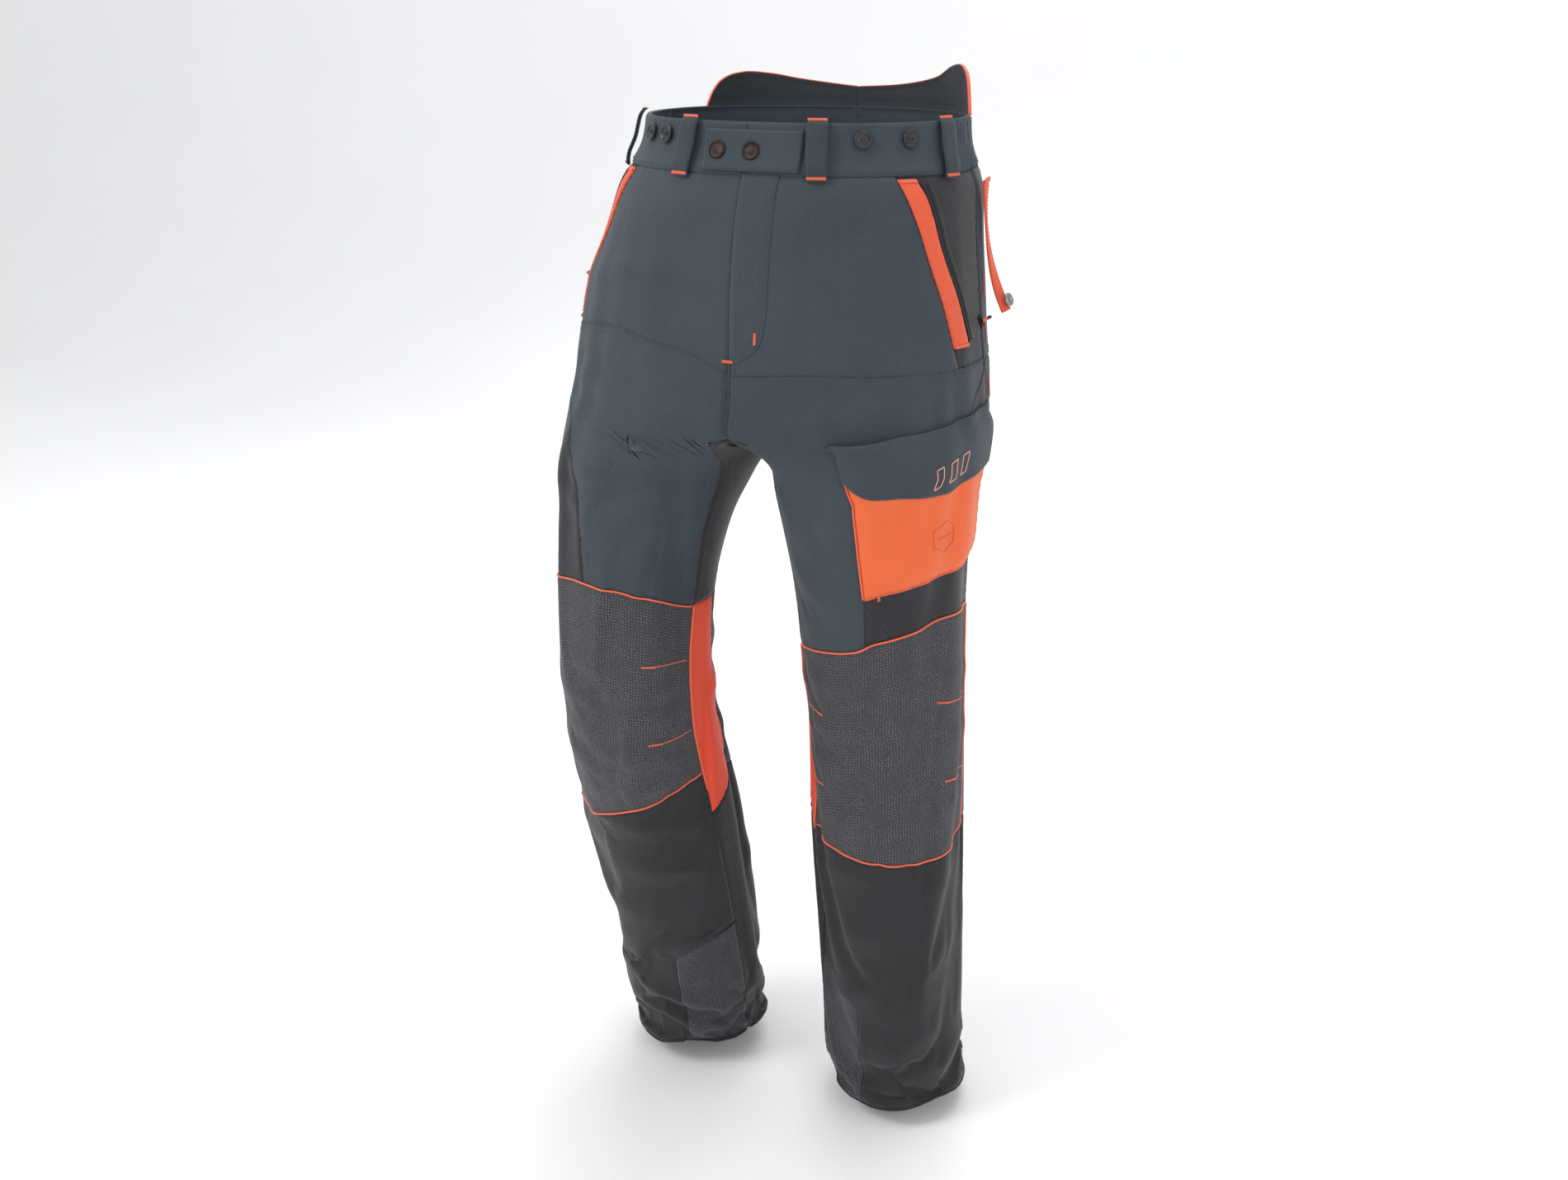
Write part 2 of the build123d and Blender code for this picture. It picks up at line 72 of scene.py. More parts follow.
# ---- the figure: height, centre across, centre deep, half width, half depth, squareness,
# ---- inner arc, in millimetres
LEFT_ROWS = [
    (72, 0, 8, 152, 126, 2.2, 0),
    (0, 0, 0, 159, 129, 2.2, 0),
    (-45, 0, -10, 176, 138, 2.2, 0),
    (-90, 0, -18, 181, 142, 2.2, 0),
    (-135, 0, -24, 186, 142, 2.3, 0),
    (-175, 0, -28, 190, 140, 2.4, 0),
    (-220, 0, -34, 196, 138, 2.5, 0),
    (-262, 0, -42, 198, 132, 2.7, 0),
    (-290, 100, -48, 97, 119, 2.3, 52),
    (-320, 99, -52, 94, 110, 2.1, 60),
    (-370, 102, -50, 90, 100, 2.0, 60),
    (-435, 106, -46, 84, 90, 2.0, 60),
    (-500, 109, -42, 82, 85, 2.0, 60),
    (-570, 112, -38, 80, 82, 2.0, 60),
    (-700, 114, -32, 79, 80, 2.0, 60),
    (-830, 117, -24, 76, 76, 2.0, 60),
    (-960, 118, -12, 75, 76, 2.0, 60),
    (-1032, 119, -3, 76, 77, 2.0, 60),
]
RIGHT_ROWS = [
    (72, 0, 8, 152, 126, 2.2, 0),
    (0, 0, 0, 159, 129, 2.2, 0),
    (-45, 0, -10, 180, 138, 2.2, 0),
    (-90, 0, -18, 194, 142, 2.2, 0),
    (-135, 0, -24, 212, 142, 2.3, 0),
    (-175, 0, -28, 219, 140, 2.4, 0),
    (-220, 0, -34, 225, 138, 2.5, 0),
    (-262, 0, -56, 224, 130, 2.7, 0),
    (-290, -115, -76, 109, 118, 2.3, 52),
    (-320, -121, -92, 97, 108, 2.1, 60),
    (-370, -128, -112, 86, 93, 2.0, 60),
    (-435, -132, -128, 79, 83, 2.0, 60),
    (-500, -134, -134, 79, 79, 2.0, 60),
    (-570, -136, -126, 80, 80, 2.0, 60),
    (-635, -137, -108, 82, 84, 2.0, 60),
    (-700, -137, -86, 84, 86, 2.0, 60),
    (-765, -136, -66, 83, 84, 2.0, 60),
    (-830, -135, -46, 81, 82, 2.0, 60),
    (-895, -133, -28, 79, 80, 2.0, 60),
    (-960, -132, -14, 77, 77, 2.0, 60),
    (-1032, -130, 0, 74, 74, 2.0, 60),
]
ROWS = {LEFT: LEFT_ROWS, RIGHT: RIGHT_ROWS}
HEM = -1032.0
CROTCH = -262.0
OUTER = 88
INNER = 44
AROUND = OUTER + INNER
heights = np.concatenate([
    np.linspace(72, 0, 13)[:-1],
    np.linspace(0, CROTCH, 46)[:-1],
    np.linspace(CROTCH, HEM, 130),
])
CROTCH_ROW = int(np.argmin(abs(heights - CROTCH)))


def through(known, values, at):
    """A smooth curve through known stations that never overshoots them."""
    known = np.asarray(known, float)
    values = np.asarray(values, float)
    step = np.diff(known)
    rise = np.diff(values, axis=0) / step.reshape(-1, *[1] * (values.ndim - 1))
    slope = np.zeros_like(values)
    slope[0] = rise[0]
    slope[-1] = rise[-1]
    same = rise[1:] * rise[:-1] > 0
    mean = 2 * rise[1:] * rise[:-1] / np.where(same, rise[1:] + rise[:-1], 1)
    slope[1:-1] = np.where(same, mean, 0)
    at = np.clip(at, known[0], known[-1])
    i = np.clip(np.searchsorted(known, at) - 1, 0, len(known) - 2)
    t = ((at - known[i]) / step[i]).reshape(-1, *[1] * (values.ndim - 1))
    h = step[i].reshape(t.shape)
    a = values[i] * (1 + 2 * t) * (1 - t) ** 2 + slope[i] * h * t * (1 - t) ** 2
    return a + values[i + 1] * t * t * (3 - 2 * t) + slope[i + 1] * h * t * t * (t - 1)


def power(value, index):
    return np.sign(value) * np.abs(value) ** index


def station(side, row):
    """One closed ring of the figure: the outer arc from front to back, then the inner."""
    z, cx, cy, a, b, e, arc = row
    ends = 90 if arc == 0 else 180 - arc
    angle = np.radians(np.concatenate([
        np.linspace(-ends, ends, OUTER + 1),
        np.linspace(ends, 360 - ends, INNER + 1)[1:-1],
    ]))
    x = cx + side * a * power(np.cos(angle), 2 / e)
    y = cy + b * power(np.sin(angle), 2 / e)
    z = np.full(AROUND, float(z))
    if arc == 0:
        x[[0, OUTER]] = 0
        part = np.linspace(0, 1, INNER + 1)[1:-1]
        x[OUTER + 1:] = 0
        y[OUTER + 1:] = y[OUTER] + (y[0] - y[OUTER]) * part
        z[OUTER + 1:] -= 17 * np.sin(np.pi * part) ** 0.7
    return np.stack([x, y, z], 1)


def base_figure():
    """Both halves as grids of points, welded down the middle and under the crotch."""
    grid = {}
    for side in (LEFT, RIGHT):
        rows = sorted(ROWS[side])
        rings = np.array([station(side, r) for r in rows])
        known = [r[0] for r in rows]
        whole = through(known, rings, heights)
        legs = [i for i, k in enumerate(known) if k <= CROTCH]
        below = heights <= CROTCH
        inner = through([known[i] for i in legs], rings[legs], heights[below])
        whole[below, OUTER + 1:] = inner[:, OUTER + 1:]
        grid[side] = whole
    for column in (0, OUTER):
        top = slice(0, CROTCH_ROW + 1)
        middle = (grid[LEFT][top, column] + grid[RIGHT][top, column]) / 2
        middle[:, 0] = 0
        grid[LEFT][top, column] = middle
        grid[RIGHT][top, column] = middle
    saddle = (grid[LEFT][CROTCH_ROW, OUTER + 1:] + grid[RIGHT][CROTCH_ROW, OUTER + 1:]) / 2
    grid[LEFT][CROTCH_ROW, OUTER + 1:] = saddle
    grid[RIGHT][CROTCH_ROW, OUTER + 1:] = saddle
    return grid


def ends_at(h):
    return np.interp(-np.asarray(h, float), [262, 276, 290, 320], [90, 112, 128, 120])


def column_of(phi, h):
    """Grid column of a heading round the figure: -90 front, 0 outer side, 90 back."""
    ends = ends_at(h)
    phi = np.asarray(phi, float)
    leg = np.asarray(h) < CROTCH
    turned = np.where(leg, (phi + ends) % 360 - ends, np.clip(phi, -90, 90))
    out = (turned + ends) / (2 * ends) * OUTER
    inside = OUTER + (turned - ends) / (360 - 2 * ends) * INNER
    return np.where(turned <= ends, out, inside)


def fold_field(side, grid):
    """Listed folds: each is a soft ridge between two places on the cloth."""
    lift = np.zeros(grid.shape[:2])
    columns = np.arange(AROUND)
    ends = ends_at(heights)[:, None]
    out = -ends + 2 * ends * columns / OUTER
    phi = np.where(columns <= OUTER, out, ends + (360 - 2 * ends) * (columns - OUTER) / INNER)
    phi = np.where(phi > 200, phi - 360, phi)
    for start, finish, width, height in FOLDS[side]:
        radius = 82.0 if start[1] < -300 else 120.0
        scale = np.radians(radius)
        ax, ay = start[0] * scale, start[1]
        bx, by = finish[0] * scale, finish[1]
        for shift in (0, 360):
            px = (phi + shift) * scale - ax
            py = heights[:, None] - ay
            dx, dy = bx - ax, by - ay
            t = np.clip((px * dx + py * dy) / (dx * dx + dy * dy), 0, 1)
            away = np.hypot(px - t * dx, py - t * dy)
            taper = 0.35 + 0.65 * np.sin(np.pi * np.clip(t, 0.08, 0.92))
            ridge = np.exp(-(away / width) ** 2) - 0.45 * np.exp(-((away - 1.9 * width) / width) ** 2)
            lift += height * ridge * taper
    lift[heights > -60] = 0
    return lift


# start and finish as (heading, height), width and height in millimetres
FOLDS = {
    LEFT: [
        ((-88, -262), (-52, -226), 12, 3.5), ((-100, -292), (-62, -300), 12, 3.0),
        ((-88, -150), (-60, -185), 14, 1.6), ((-110, -350), (-72, -330), 13, 2.6),
        ((-126, -400), (-82, -440), 12, 2.6), ((-30, -60), (-60, -130), 18, 1.8),
        ((-142, -520), (-96, -505), 10, 3.4), ((-136, -566), (-76, -560), 9, 3.6),
        ((-140, -600), (-98, -612), 10, 3.2), ((16, -516), (-34, -500), 10, 3.0),
        ((16, -580), (-36, -586), 11, 3.4), ((10, -655), (-40, -648), 12, 2.6),
        ((-132, -660), (-80, -668), 12, 2.8), ((-138, -740), (-70, -716), 14, 3.0),
        ((-60, -760), (10, -722), 16, 3.0), ((-120, -820), (-52, -786), 16, 3.2),
        ((-58, -850), (14, -810), 15, 2.6), ((-132, -900), (-80, -868), 12, 3.0),
        ((-96, -960), (-30, -925), 15, 3.2), ((-40, -985), (14, -955), 13, 2.6),
        ((60, -540), (150, -560), 12, 5.0), ((50, -590), (160, -600), 12, 5.5),
        ((60, -640), (150, -632), 12, 4.5), ((70, -300), (130, -330), 14, 4.0),
        ((60, -800), (150, -820), 16, 3.5), ((40, -930), (160, -950), 15, 3.5),
        ((88, -120), (50, -150), 18, 2.5), ((88, -200), (40, -225), 16, 3.5),
        ((88, -240), (50, -265), 12, 4.0),
    ],
    RIGHT: [
        ((-92, -258), (-40, -226), 9, 4.6), ((-98, -276), (-45, -262), 9, 5.0),
        ((-118, -296), (-62, -306), 9, 4.6), ((-138, -322), (-78, -352), 10, 4.0),
        ((-148, -352), (-96, -398), 11, 3.2), ((-88, -206), (-56, -190), 9, 2.0),
        ((-30, -130), (-66, -112), 12, 1.6), ((-24, -300), (-60, -336), 14, 2.6),
        ((-150, -470), (-112, -456), 9, 3.4), ((-156, -520), (-100, -528), 10, 4.0),
        ((-154, -548), (-110, -560), 8, 3.6), ((-150, -604), (-96, -600), 10, 4.2),
        ((-150, -628), (-104, -642), 8, 3.4), ((-40, -520), (-80, -540), 12, 2.4),
        ((-34, -600), (-84, -618), 12, 2.6), ((-150, -700), (-70, -678), 12, 3.8),
        ((-60, -730), (0, -700), 14, 3.2), ((-150, -766), (-80, -742), 13, 3.4),
        ((-96, -820), (-20, -790), 15, 3.2), ((-150, -850), (-96, -880), 11, 3.6),
        ((-80, -930), (-20, -900), 14, 3.0), ((-140, -960), (-90, -940), 11, 3.2),
        ((60, -500), (150, -490), 12, 5.5), ((40, -545), (160, -540), 12, 6.0),
        ((50, -590), (150, -596), 12, 5.0), ((60, -300), (140, -330), 14, 5.0),
        ((60, -760), (150, -780), 16, 3.5), ((40, -900), (160, -920), 15, 3.5),
        ((88, -120), (50, -150), 18, 2.5), ((88, -200), (40, -225), 16, 3.5),
        ((88, -240), (50, -265), 12, 4.0),
    ],
}


def grid_normals(grid, other):
    """Outward directions over one half, using the other half past the middle."""
    full = grid.copy()
    for row in range(CROTCH_ROW):
        half = INNER // 2
        full[row, OUTER + 1:OUTER + half] = other[row, OUTER - 1:OUTER - half:-1]
        full[row, OUTER + half:] = other[row, AROUND - OUTER - half:0:-1]
    along = np.roll(full, -1, 1) - np.roll(full, 1, 1)
    down = np.gradient(full, axis=0)
    side = 1 if grid[CROTCH_ROW, OUTER // 2, 0] > 0 else -1
    normal = np.cross(along, down) * -side
    normal /= np.linalg.norm(normal, axis=2, keepdims=True) + 1e-9
    return full, normal


FOLD_CAP = 7.5        # the most that the settling moves a point, millimetres
BROAD_ROUNDS = 28     # averaging steps that leave only the swelling of whole panels
BROAD_SHARE = 0.85    # the share of that swelling that is taken away again


def averaged(field):
    """One step of averaging a field over its neighbours round the ring and down it."""
    down = np.concatenate([field[:1], field, field[-1:]])
    field = 0.25 * down[:-2] + 0.5 * down[1:-1] + 0.25 * down[2:]
    return 0.25 * np.roll(field, 1, 1) + 0.5 * field + 0.25 * np.roll(field, -1, 1)


def settle(grid):
    """Lets the cloth buckle: it is cut longer than the figure and held at its seams."""
    count = 0
    index = {}
    points = []
    for side in (LEFT, RIGHT):
        number = np.full((len(heights), AROUND), -1)
        for row in range(len(heights)):
            last = OUTER + 1 if row < CROTCH_ROW else AROUND
            for column in range(last):
                shared = row <= CROTCH_ROW and column in (0, OUTER)
                shared = shared or (row == CROTCH_ROW and column > OUTER)
                if side == RIGHT and shared:
                    number[row, column] = index[LEFT][row, column]
                    continue
                number[row, column] = count
                points.append(grid[side][row, column] * MM)
                count += 1
        index[side] = number
    faces = []
    for side in (LEFT, RIGHT):
        number = index[side]
        for row in range(len(heights) - 1):
            last = OUTER if row < CROTCH_ROW else AROUND
            for column in range(last):
                after = (column + 1) % AROUND
                quad = (
                    number[row, column], number[row + 1, column], number[row + 1, after], number[row, after]
                )
                faces.append(quad if side == LEFT else quad[::-1])
    mesh = bpy.data.meshes.new("settling")
    mesh.from_pydata([tuple(p) for p in points], [], [tuple(int(i) for i in f) for f in faces])
    cloth = bpy.data.objects.new("settling", mesh)
    bpy.context.collection.objects.link(cloth)
    hold = np.zeros(count)
    slack = np.zeros(count)
    for side in (LEFT, RIGHT):
        number = index[side]
        keep = np.zeros((len(heights), AROUND))
        keep += np.exp(-((heights + 22) / 34.0) ** 2)[:, None]
        keep[heights > -52] = 1
        keep += np.exp(-((heights - HEM) / 10.0) ** 2)[:, None] * 0.6
        middle = heights > CROTCH - 14
        keep[middle, 0] = 0.7
        keep[middle, OUTER] = 0.7
        keep[CROTCH_ROW, OUTER + 1:] = 0.7
        keep = np.clip(keep + 0.045, 0, 1)
        loose = np.full((len(heights), AROUND), 0.34)
        loose[heights > -190] = 0.06
        for middle_h, reach, amount in ((-270, 40, 0.3), (-560, 70, 0.7), (-720, 40, 0.35), (-940, 70, 0.5)):
            loose += np.exp(-((heights - middle_h) / reach) ** 2)[:, None] * amount
        valid = number >= 0
        hold[number[valid]] = np.maximum(hold[number[valid]], keep[valid])
        slack[number[valid]] = np.clip(loose, 0, 1)[valid]
    pins = cloth.vertex_groups.new(name="held")
    loose_group = cloth.vertex_groups.new(name="slack")
    for group, weights in ((pins, hold), (loose_group, slack)):
        levels = np.round(weights * 40) / 40
        for level in np.unique(levels):
            group.add([int(i) for i in np.nonzero(levels == level)[0]], float(level), "REPLACE")
    modifier = cloth.modifiers.new("cloth", "CLOTH")
    settings = modifier.settings
    settings.quality = 5
    settings.mass = 0.25
    settings.tension_stiffness = 20
    settings.compression_stiffness = 12
    settings.shear_stiffness = 8
    settings.bending_stiffness = 1.2
    settings.tension_damping = 8
    settings.compression_damping = 8
    settings.shear_damping = 8
    settings.bending_damping = 0.8
    settings.air_damping = 2.0
    settings.vertex_group_mass = "held"
    settings.pin_stiffness = 1.0
    settings.shrink_min = -0.002
    settings.shrink_max = -0.05
    settings.vertex_group_shrink = "slack"
    settings.use_pressure = True
    settings.uniform_pressure_force = 0.05
    settings.effector_weights.gravity = 0.25
    modifier.collision_settings.use_collision = False
    modifier.collision_settings.use_self_collision = False
    frames = 26
    modifier.point_cache.frame_start = 1
    modifier.point_cache.frame_end = frames
    scene = bpy.context.scene
    for number in range(1, frames + 1):
        scene.frame_set(number)
    done = cloth.evaluated_get(bpy.context.evaluated_depsgraph_get())
    result = np.zeros(count * 3)
    done.data.vertices.foreach_get("co", result)
    result = result.reshape(-1, 3) / MM
    scene.frame_set(1)
    bpy.data.objects.remove(cloth)
    settled = {}
    for side in (LEFT, RIGHT):
        number = index[side]
        valid = number >= 0
        moved = grid[side].copy()
        change = np.zeros_like(moved)
        change[valid] = result[number[valid]] - moved[valid]
        held = np.clip((heights - CROTCH + 6) / 20, 0, 1)[:, None] * np.exp(-np.minimum(
            np.abs(np.arange(AROUND) - 0.0), np.abs(np.arange(AROUND) - OUTER)) / 3.0)[None, :]
        change *= (1 - held)[..., None]
        broad = change.copy()
        for _ in range(BROAD_ROUNDS):
            broad = averaged(broad)
        gain = np.interp(
            heights, [-1032, -620, -440, -300, -230, -190, 72], [1.05, 1.05, 0.8, 0.5, 0.3, 0.12, 0.1]
        )
        change = (change - BROAD_SHARE * broad) * gain[:, None, None]
        size = np.linalg.norm(change, axis=2, keepdims=True)
        change *= np.tanh(size / FOLD_CAP) * FOLD_CAP / np.maximum(size, 1e-6)
        moved[valid] += change[valid]
        settled[side] = moved
    return settled


def join_middle(halves):
    """Brings both halves to one line in the plane x = 0 above the crotch, and evens the cloth beside it."""
    top_rows = slice(0, CROTCH_ROW + 1)
    for column, inward in ((0, 1), (OUTER, -1)):
        middle = (halves[LEFT][top_rows, column] + halves[RIGHT][top_rows, column]) / 2
        middle[:, 0] = 0
        for side in (LEFT, RIGHT):
            gap = middle - halves[side][top_rows, column]
            for step in range(5):
                halves[side][top_rows, column + inward * step] += gap * (1 - step / 5)


def even_crotch(halves, rounds):
    """Smooths the cloth where the legs part, so that no kink is left between hip and leg."""
    weight = np.exp(-((heights - CROTCH + 14) / 20.0) ** 2)[:, None, None] * np.ones((1, AROUND, 1))
    weight[:CROTCH_ROW + 1, OUTER + 1:] = 0
    top_rows = slice(0, CROTCH_ROW + 1)
    for _ in range(rounds):
        smoothed = {}
        for side in (LEFT, RIGHT):
            now, other = halves[side], halves[-side]
            before, after = np.roll(now, 1, 1), np.roll(now, -1, 1)
            before[top_rows, 0] = other[top_rows, 1]
            after[top_rows, OUTER] = other[top_rows, OUTER - 1]
            above = np.concatenate([now[:1], now[:-1]])
            below = np.concatenate([now[1:], now[-1:]])
            mean = (before + after + above + below) / 4
            smoothed[side] = now + (mean - now) * weight * 0.6
        halves.update(smoothed)


figure = base_figure()
even_crotch(figure, 14)
for side in (LEFT, RIGHT):
    _, outward = grid_normals(figure[side], figure[-side])
    figure[side] = figure[side] + outward * fold_field(side, figure[side])[..., None]
join_middle(figure)
figure = settle(figure)
even_crotch(figure, 10)
join_middle(figure)
CLOTH = {side: grid_normals(figure[side], figure[-side]) for side in (LEFT, RIGHT)}


def sample(table, row, column):
    """Smooth reading of a grid between its points."""
    r = np.clip(row, 0, len(heights) - 1.0001)
    i = np.floor(r).astype(int)
    j = np.floor(column).astype(int)
    u = (r - i)[..., None]
    v = (column - j)[..., None]
    weights_u = cubic(u)
    weights_v = cubic(v)
    total = 0
    for a in range(4):
        line = 0
        rows = np.clip(i + a - 1, 0, len(heights) - 1)
        for b in range(4):
            line = line + table[rows, (j + b - 1) % AROUND] * weights_v[b]
        total = total + line * weights_u[a]
    return total


def cubic(t):
    return (
        -0.5 * t + t * t - 0.5 * t ** 3,
        1 - 2.5 * t * t + 1.5 * t ** 3,
        0.5 * t + 2 * t * t - 1.5 * t ** 3,
        -0.5 * t * t + 0.5 * t ** 3,
    )


def on_cloth(side, phi, h, lift=0.0):
    """Points on the settled cloth, in metres, lifted off its face by millimetres."""
    phi, h, lift = np.broadcast_arrays(np.asarray(phi, float), np.asarray(h, float), np.asarray(lift, float))
    row = np.interp(-h, -heights, np.arange(len(heights)))
    column = column_of(phi, h)
    points, normals = CLOTH[side]
    place = sample(points, row, column)
    out = sample(normals, row, column)
    out /= np.linalg.norm(out, axis=-1, keepdims=True)
    return (place + out * lift[..., None]) * MM


def line(*points):
    """A seam as a function: the second number at each first number."""
    known = np.array(sorted(points), float)
    return lambda at: through(known[:, 0], known[:, 1], np.ravel(at)).reshape(np.shape(at))


def across(side, *points):
    """An upright seam given by its distance out from the middle, as (height, distance)."""
    wanted = line(*points)
    angles = np.linspace(-100, 0, 90)
    table = []
    for h in heights:
        spots = on_cloth(side, angles, np.full(90, h)) / MM
        table.append(np.interp(wanted(h), np.abs(spots[:, 0]), angles))
    return lambda at: np.interp(-np.asarray(at), -heights, table)


# ---- seams: heading round the figure against height, in degrees and millimetres --------
OUT = {
    LEFT: line((92, 6), (-45, 2), (-200, 5), (-262, 11), (-320, 16), (-400, 18), (-1040, 18)),
    RIGHT: line((92, 4), (-45, 2), (-200, 3), (-262, -8), (-320, -6), (-400, -3), (-1040, -3)),
}
MOUTH = {
    LEFT: line(
        (92, -44), (-20, -42), (-31, -40), (-54, -35.5), (-101, -27.5), (-146, -20.5), (-178, -16),
        (-240, -8)
    ),
    RIGHT: line(
        (92, -44), (-20, -42), (-31, -40), (-54, -35.5), (-101, -27.5), (-146, -20.5), (-178, -17),
        (-240, -9)
    ),
}
INN = {
    LEFT: line((92, -90), (-262, -90), (-275, -115), (-290, -138), (-320, -142), (-370, -144), (-1040, -144)),
    RIGHT: line(
        (92, -90), (-262, -90), (-275, -118), (-290, -146), (-320, -155), (-370, -160), (-435, -166),
        (-1040, -165)
    ),
}
INB = {
    LEFT: line((92, 90), (-262, 90), (-275, 115), (-290, 135), (-320, 150), (-370, 157), (-1040, 157)),
    RIGHT: line((92, 90), (-262, 90), (-275, 115), (-290, 135), (-320, 150), (-370, 157), (-1040, 157)),
}
YOKE = {
    LEFT: line((-91, -203), (-66, -197), (4, -198), (20, -198)),
    RIGHT: line((-91, -203), (-84, -188), (-71, -178), (-56, -170), (-23, -180), (10, -184)),
}
KNEE_TOP = {
    LEFT: line((-150, -487), (-144, -486), (-91, -472), (-71, -462), (-43, -450), (-17, -442), (20, -444)),
    RIGHT: line((-170, -441), (-165, -441), (-127, -424), (-104, -418), (-77, -414), (-47, -418), (0, -422)),
}
KNEE_LOW = {
    LEFT: line((-150, -694), (-144, -694), (-120, -700), (-90, -708), (-50, -712), (-16, -704), (20, -688)),
    RIGHT: line((-170, -636), (-165, -637), (-140, -648), (-119, -658), (-99, -668), (-57, -688), (0, -696)),
}
STRIPE = {
    LEFT: line(
        (-200, 4), (-240, -5), (-254, -21), (-274, -47), (-316, -66), (-364, -72), (-412, -77), (-480, -79)
    ),
    RIGHT: line(
        (-200, 2), (-240, -5), (-254, -21), (-274, -47), (-316, -66), (-364, -72), (-412, -77), (-480, -79)
    ),
}
INNER_KNEE = {
    LEFT: line((-486, -172), (-500, -177), (-542, -186), (-610, -182), (-674, -168), (-697, -148)),
    RIGHT: line((-441, -190), (-484, -198), (-616, -207), (-662, -191), (-688, -167)),
}
SEAT_LOW = {
    LEFT: line((-10, -198), (18, -200), (60, -226), (90, -250)),
    RIGHT: line((-10, -183), (18, -188), (60, -220), (90, -250))
}
BACK_TOP = {LEFT: -462.0, RIGHT: -436.0}
BACK_LOW = {LEFT: -690.0, RIGHT: -650.0}
TIP = {LEFT: -697.0, RIGHT: -688.0}
BAND_TOP = 20.0
BAND_LOW = -25.0


def at(value):
    """A seam function from a seam or a plain number."""
    if callable(value):
        return value
    return lambda x: np.full(np.shape(x), float(value))


CORNER_ROUNDS = 14


def corners(left, right, top, bottom, across, down):
    """Headings and heights of a panel between four seams."""
    left, right, top, bottom = at(left), at(right), at(top), at(bottom)
    u, v = np.meshgrid(np.linspace(0, 1, across + 1), np.linspace(0, 1, down + 1))
    h = np.where(v > 0.5, bottom(np.zeros(1)), top(np.zeros(1)))
    for _ in range(CORNER_ROUNDS):
        phi = left(h) + u * (right(h) - left(h))
        h = top(phi) + v * (bottom(phi) - top(phi))
    return phi, h


def shell(name, outer, inner, uv, finish):
    """A thin closed cloth: a grid outside, a grid inside and a rim between them."""
    down, across = outer.shape[0] - 1, outer.shape[1] - 1
    count = (down + 1) * (across + 1)
    number = np.arange(count).reshape(down + 1, across + 1)
    front = np.stack([number[:-1, :-1], number[1:, :-1], number[1:, 1:], number[:-1, 1:]], -1).reshape(-1, 4)
    back = front[:, ::-1] + count
    ring = np.concatenate([number[0, :-1], number[:-1, -1], number[-1, :0:-1], number[:0:-1, 0]])
    after = np.roll(ring, -1)
    rim = np.stack([ring, after, after + count, ring + count], -1)
    faces = np.concatenate([front, back, rim])
    points = np.concatenate([outer.reshape(-1, 3), inner.reshape(-1, 3)])
    a, b, c = points[front[:, 0]], points[front[:, 1]], points[front[:, 3]]
    facing = np.cross(b - a, c - a)
    away = (outer - inner).reshape(-1, 3)[front[:, 0]]
    if np.sum(facing * away) < 0:
        faces = faces[:, ::-1]
    piece = make(name, points, faces, finish)
    if isinstance(finish, (list, tuple)):
        which = np.zeros(len(faces), int)
        which[len(front):len(front) + len(back)] = 1
        piece.data.polygons.foreach_set("material_index", which)
    layer = piece.data.uv_layers.new(name="cloth")
    flat = np.concatenate([uv.reshape(-1, 2)] * 2)
    corner = np.zeros(len(piece.data.loops), int)
    piece.data.loops.foreach_get("vertex_index", corner)
    layer.data.foreach_set("uv", flat[corner].ravel())
    return piece


def make(name, points, faces, finish, smooth=True):
    mesh = bpy.data.meshes.new(name)
    mesh.from_pydata(
        [tuple(p) for p in np.asarray(points, float)], [], [tuple(int(i) for i in f) for f in faces]
    )
    if smooth:
        mesh.shade_smooth()
    for material in finish if isinstance(finish, (list, tuple)) else [finish]:
        mesh.materials.append(material)
    piece = bpy.data.objects.new(name, mesh)
    bpy.context.collection.objects.link(piece)
    return piece


CUT = {}


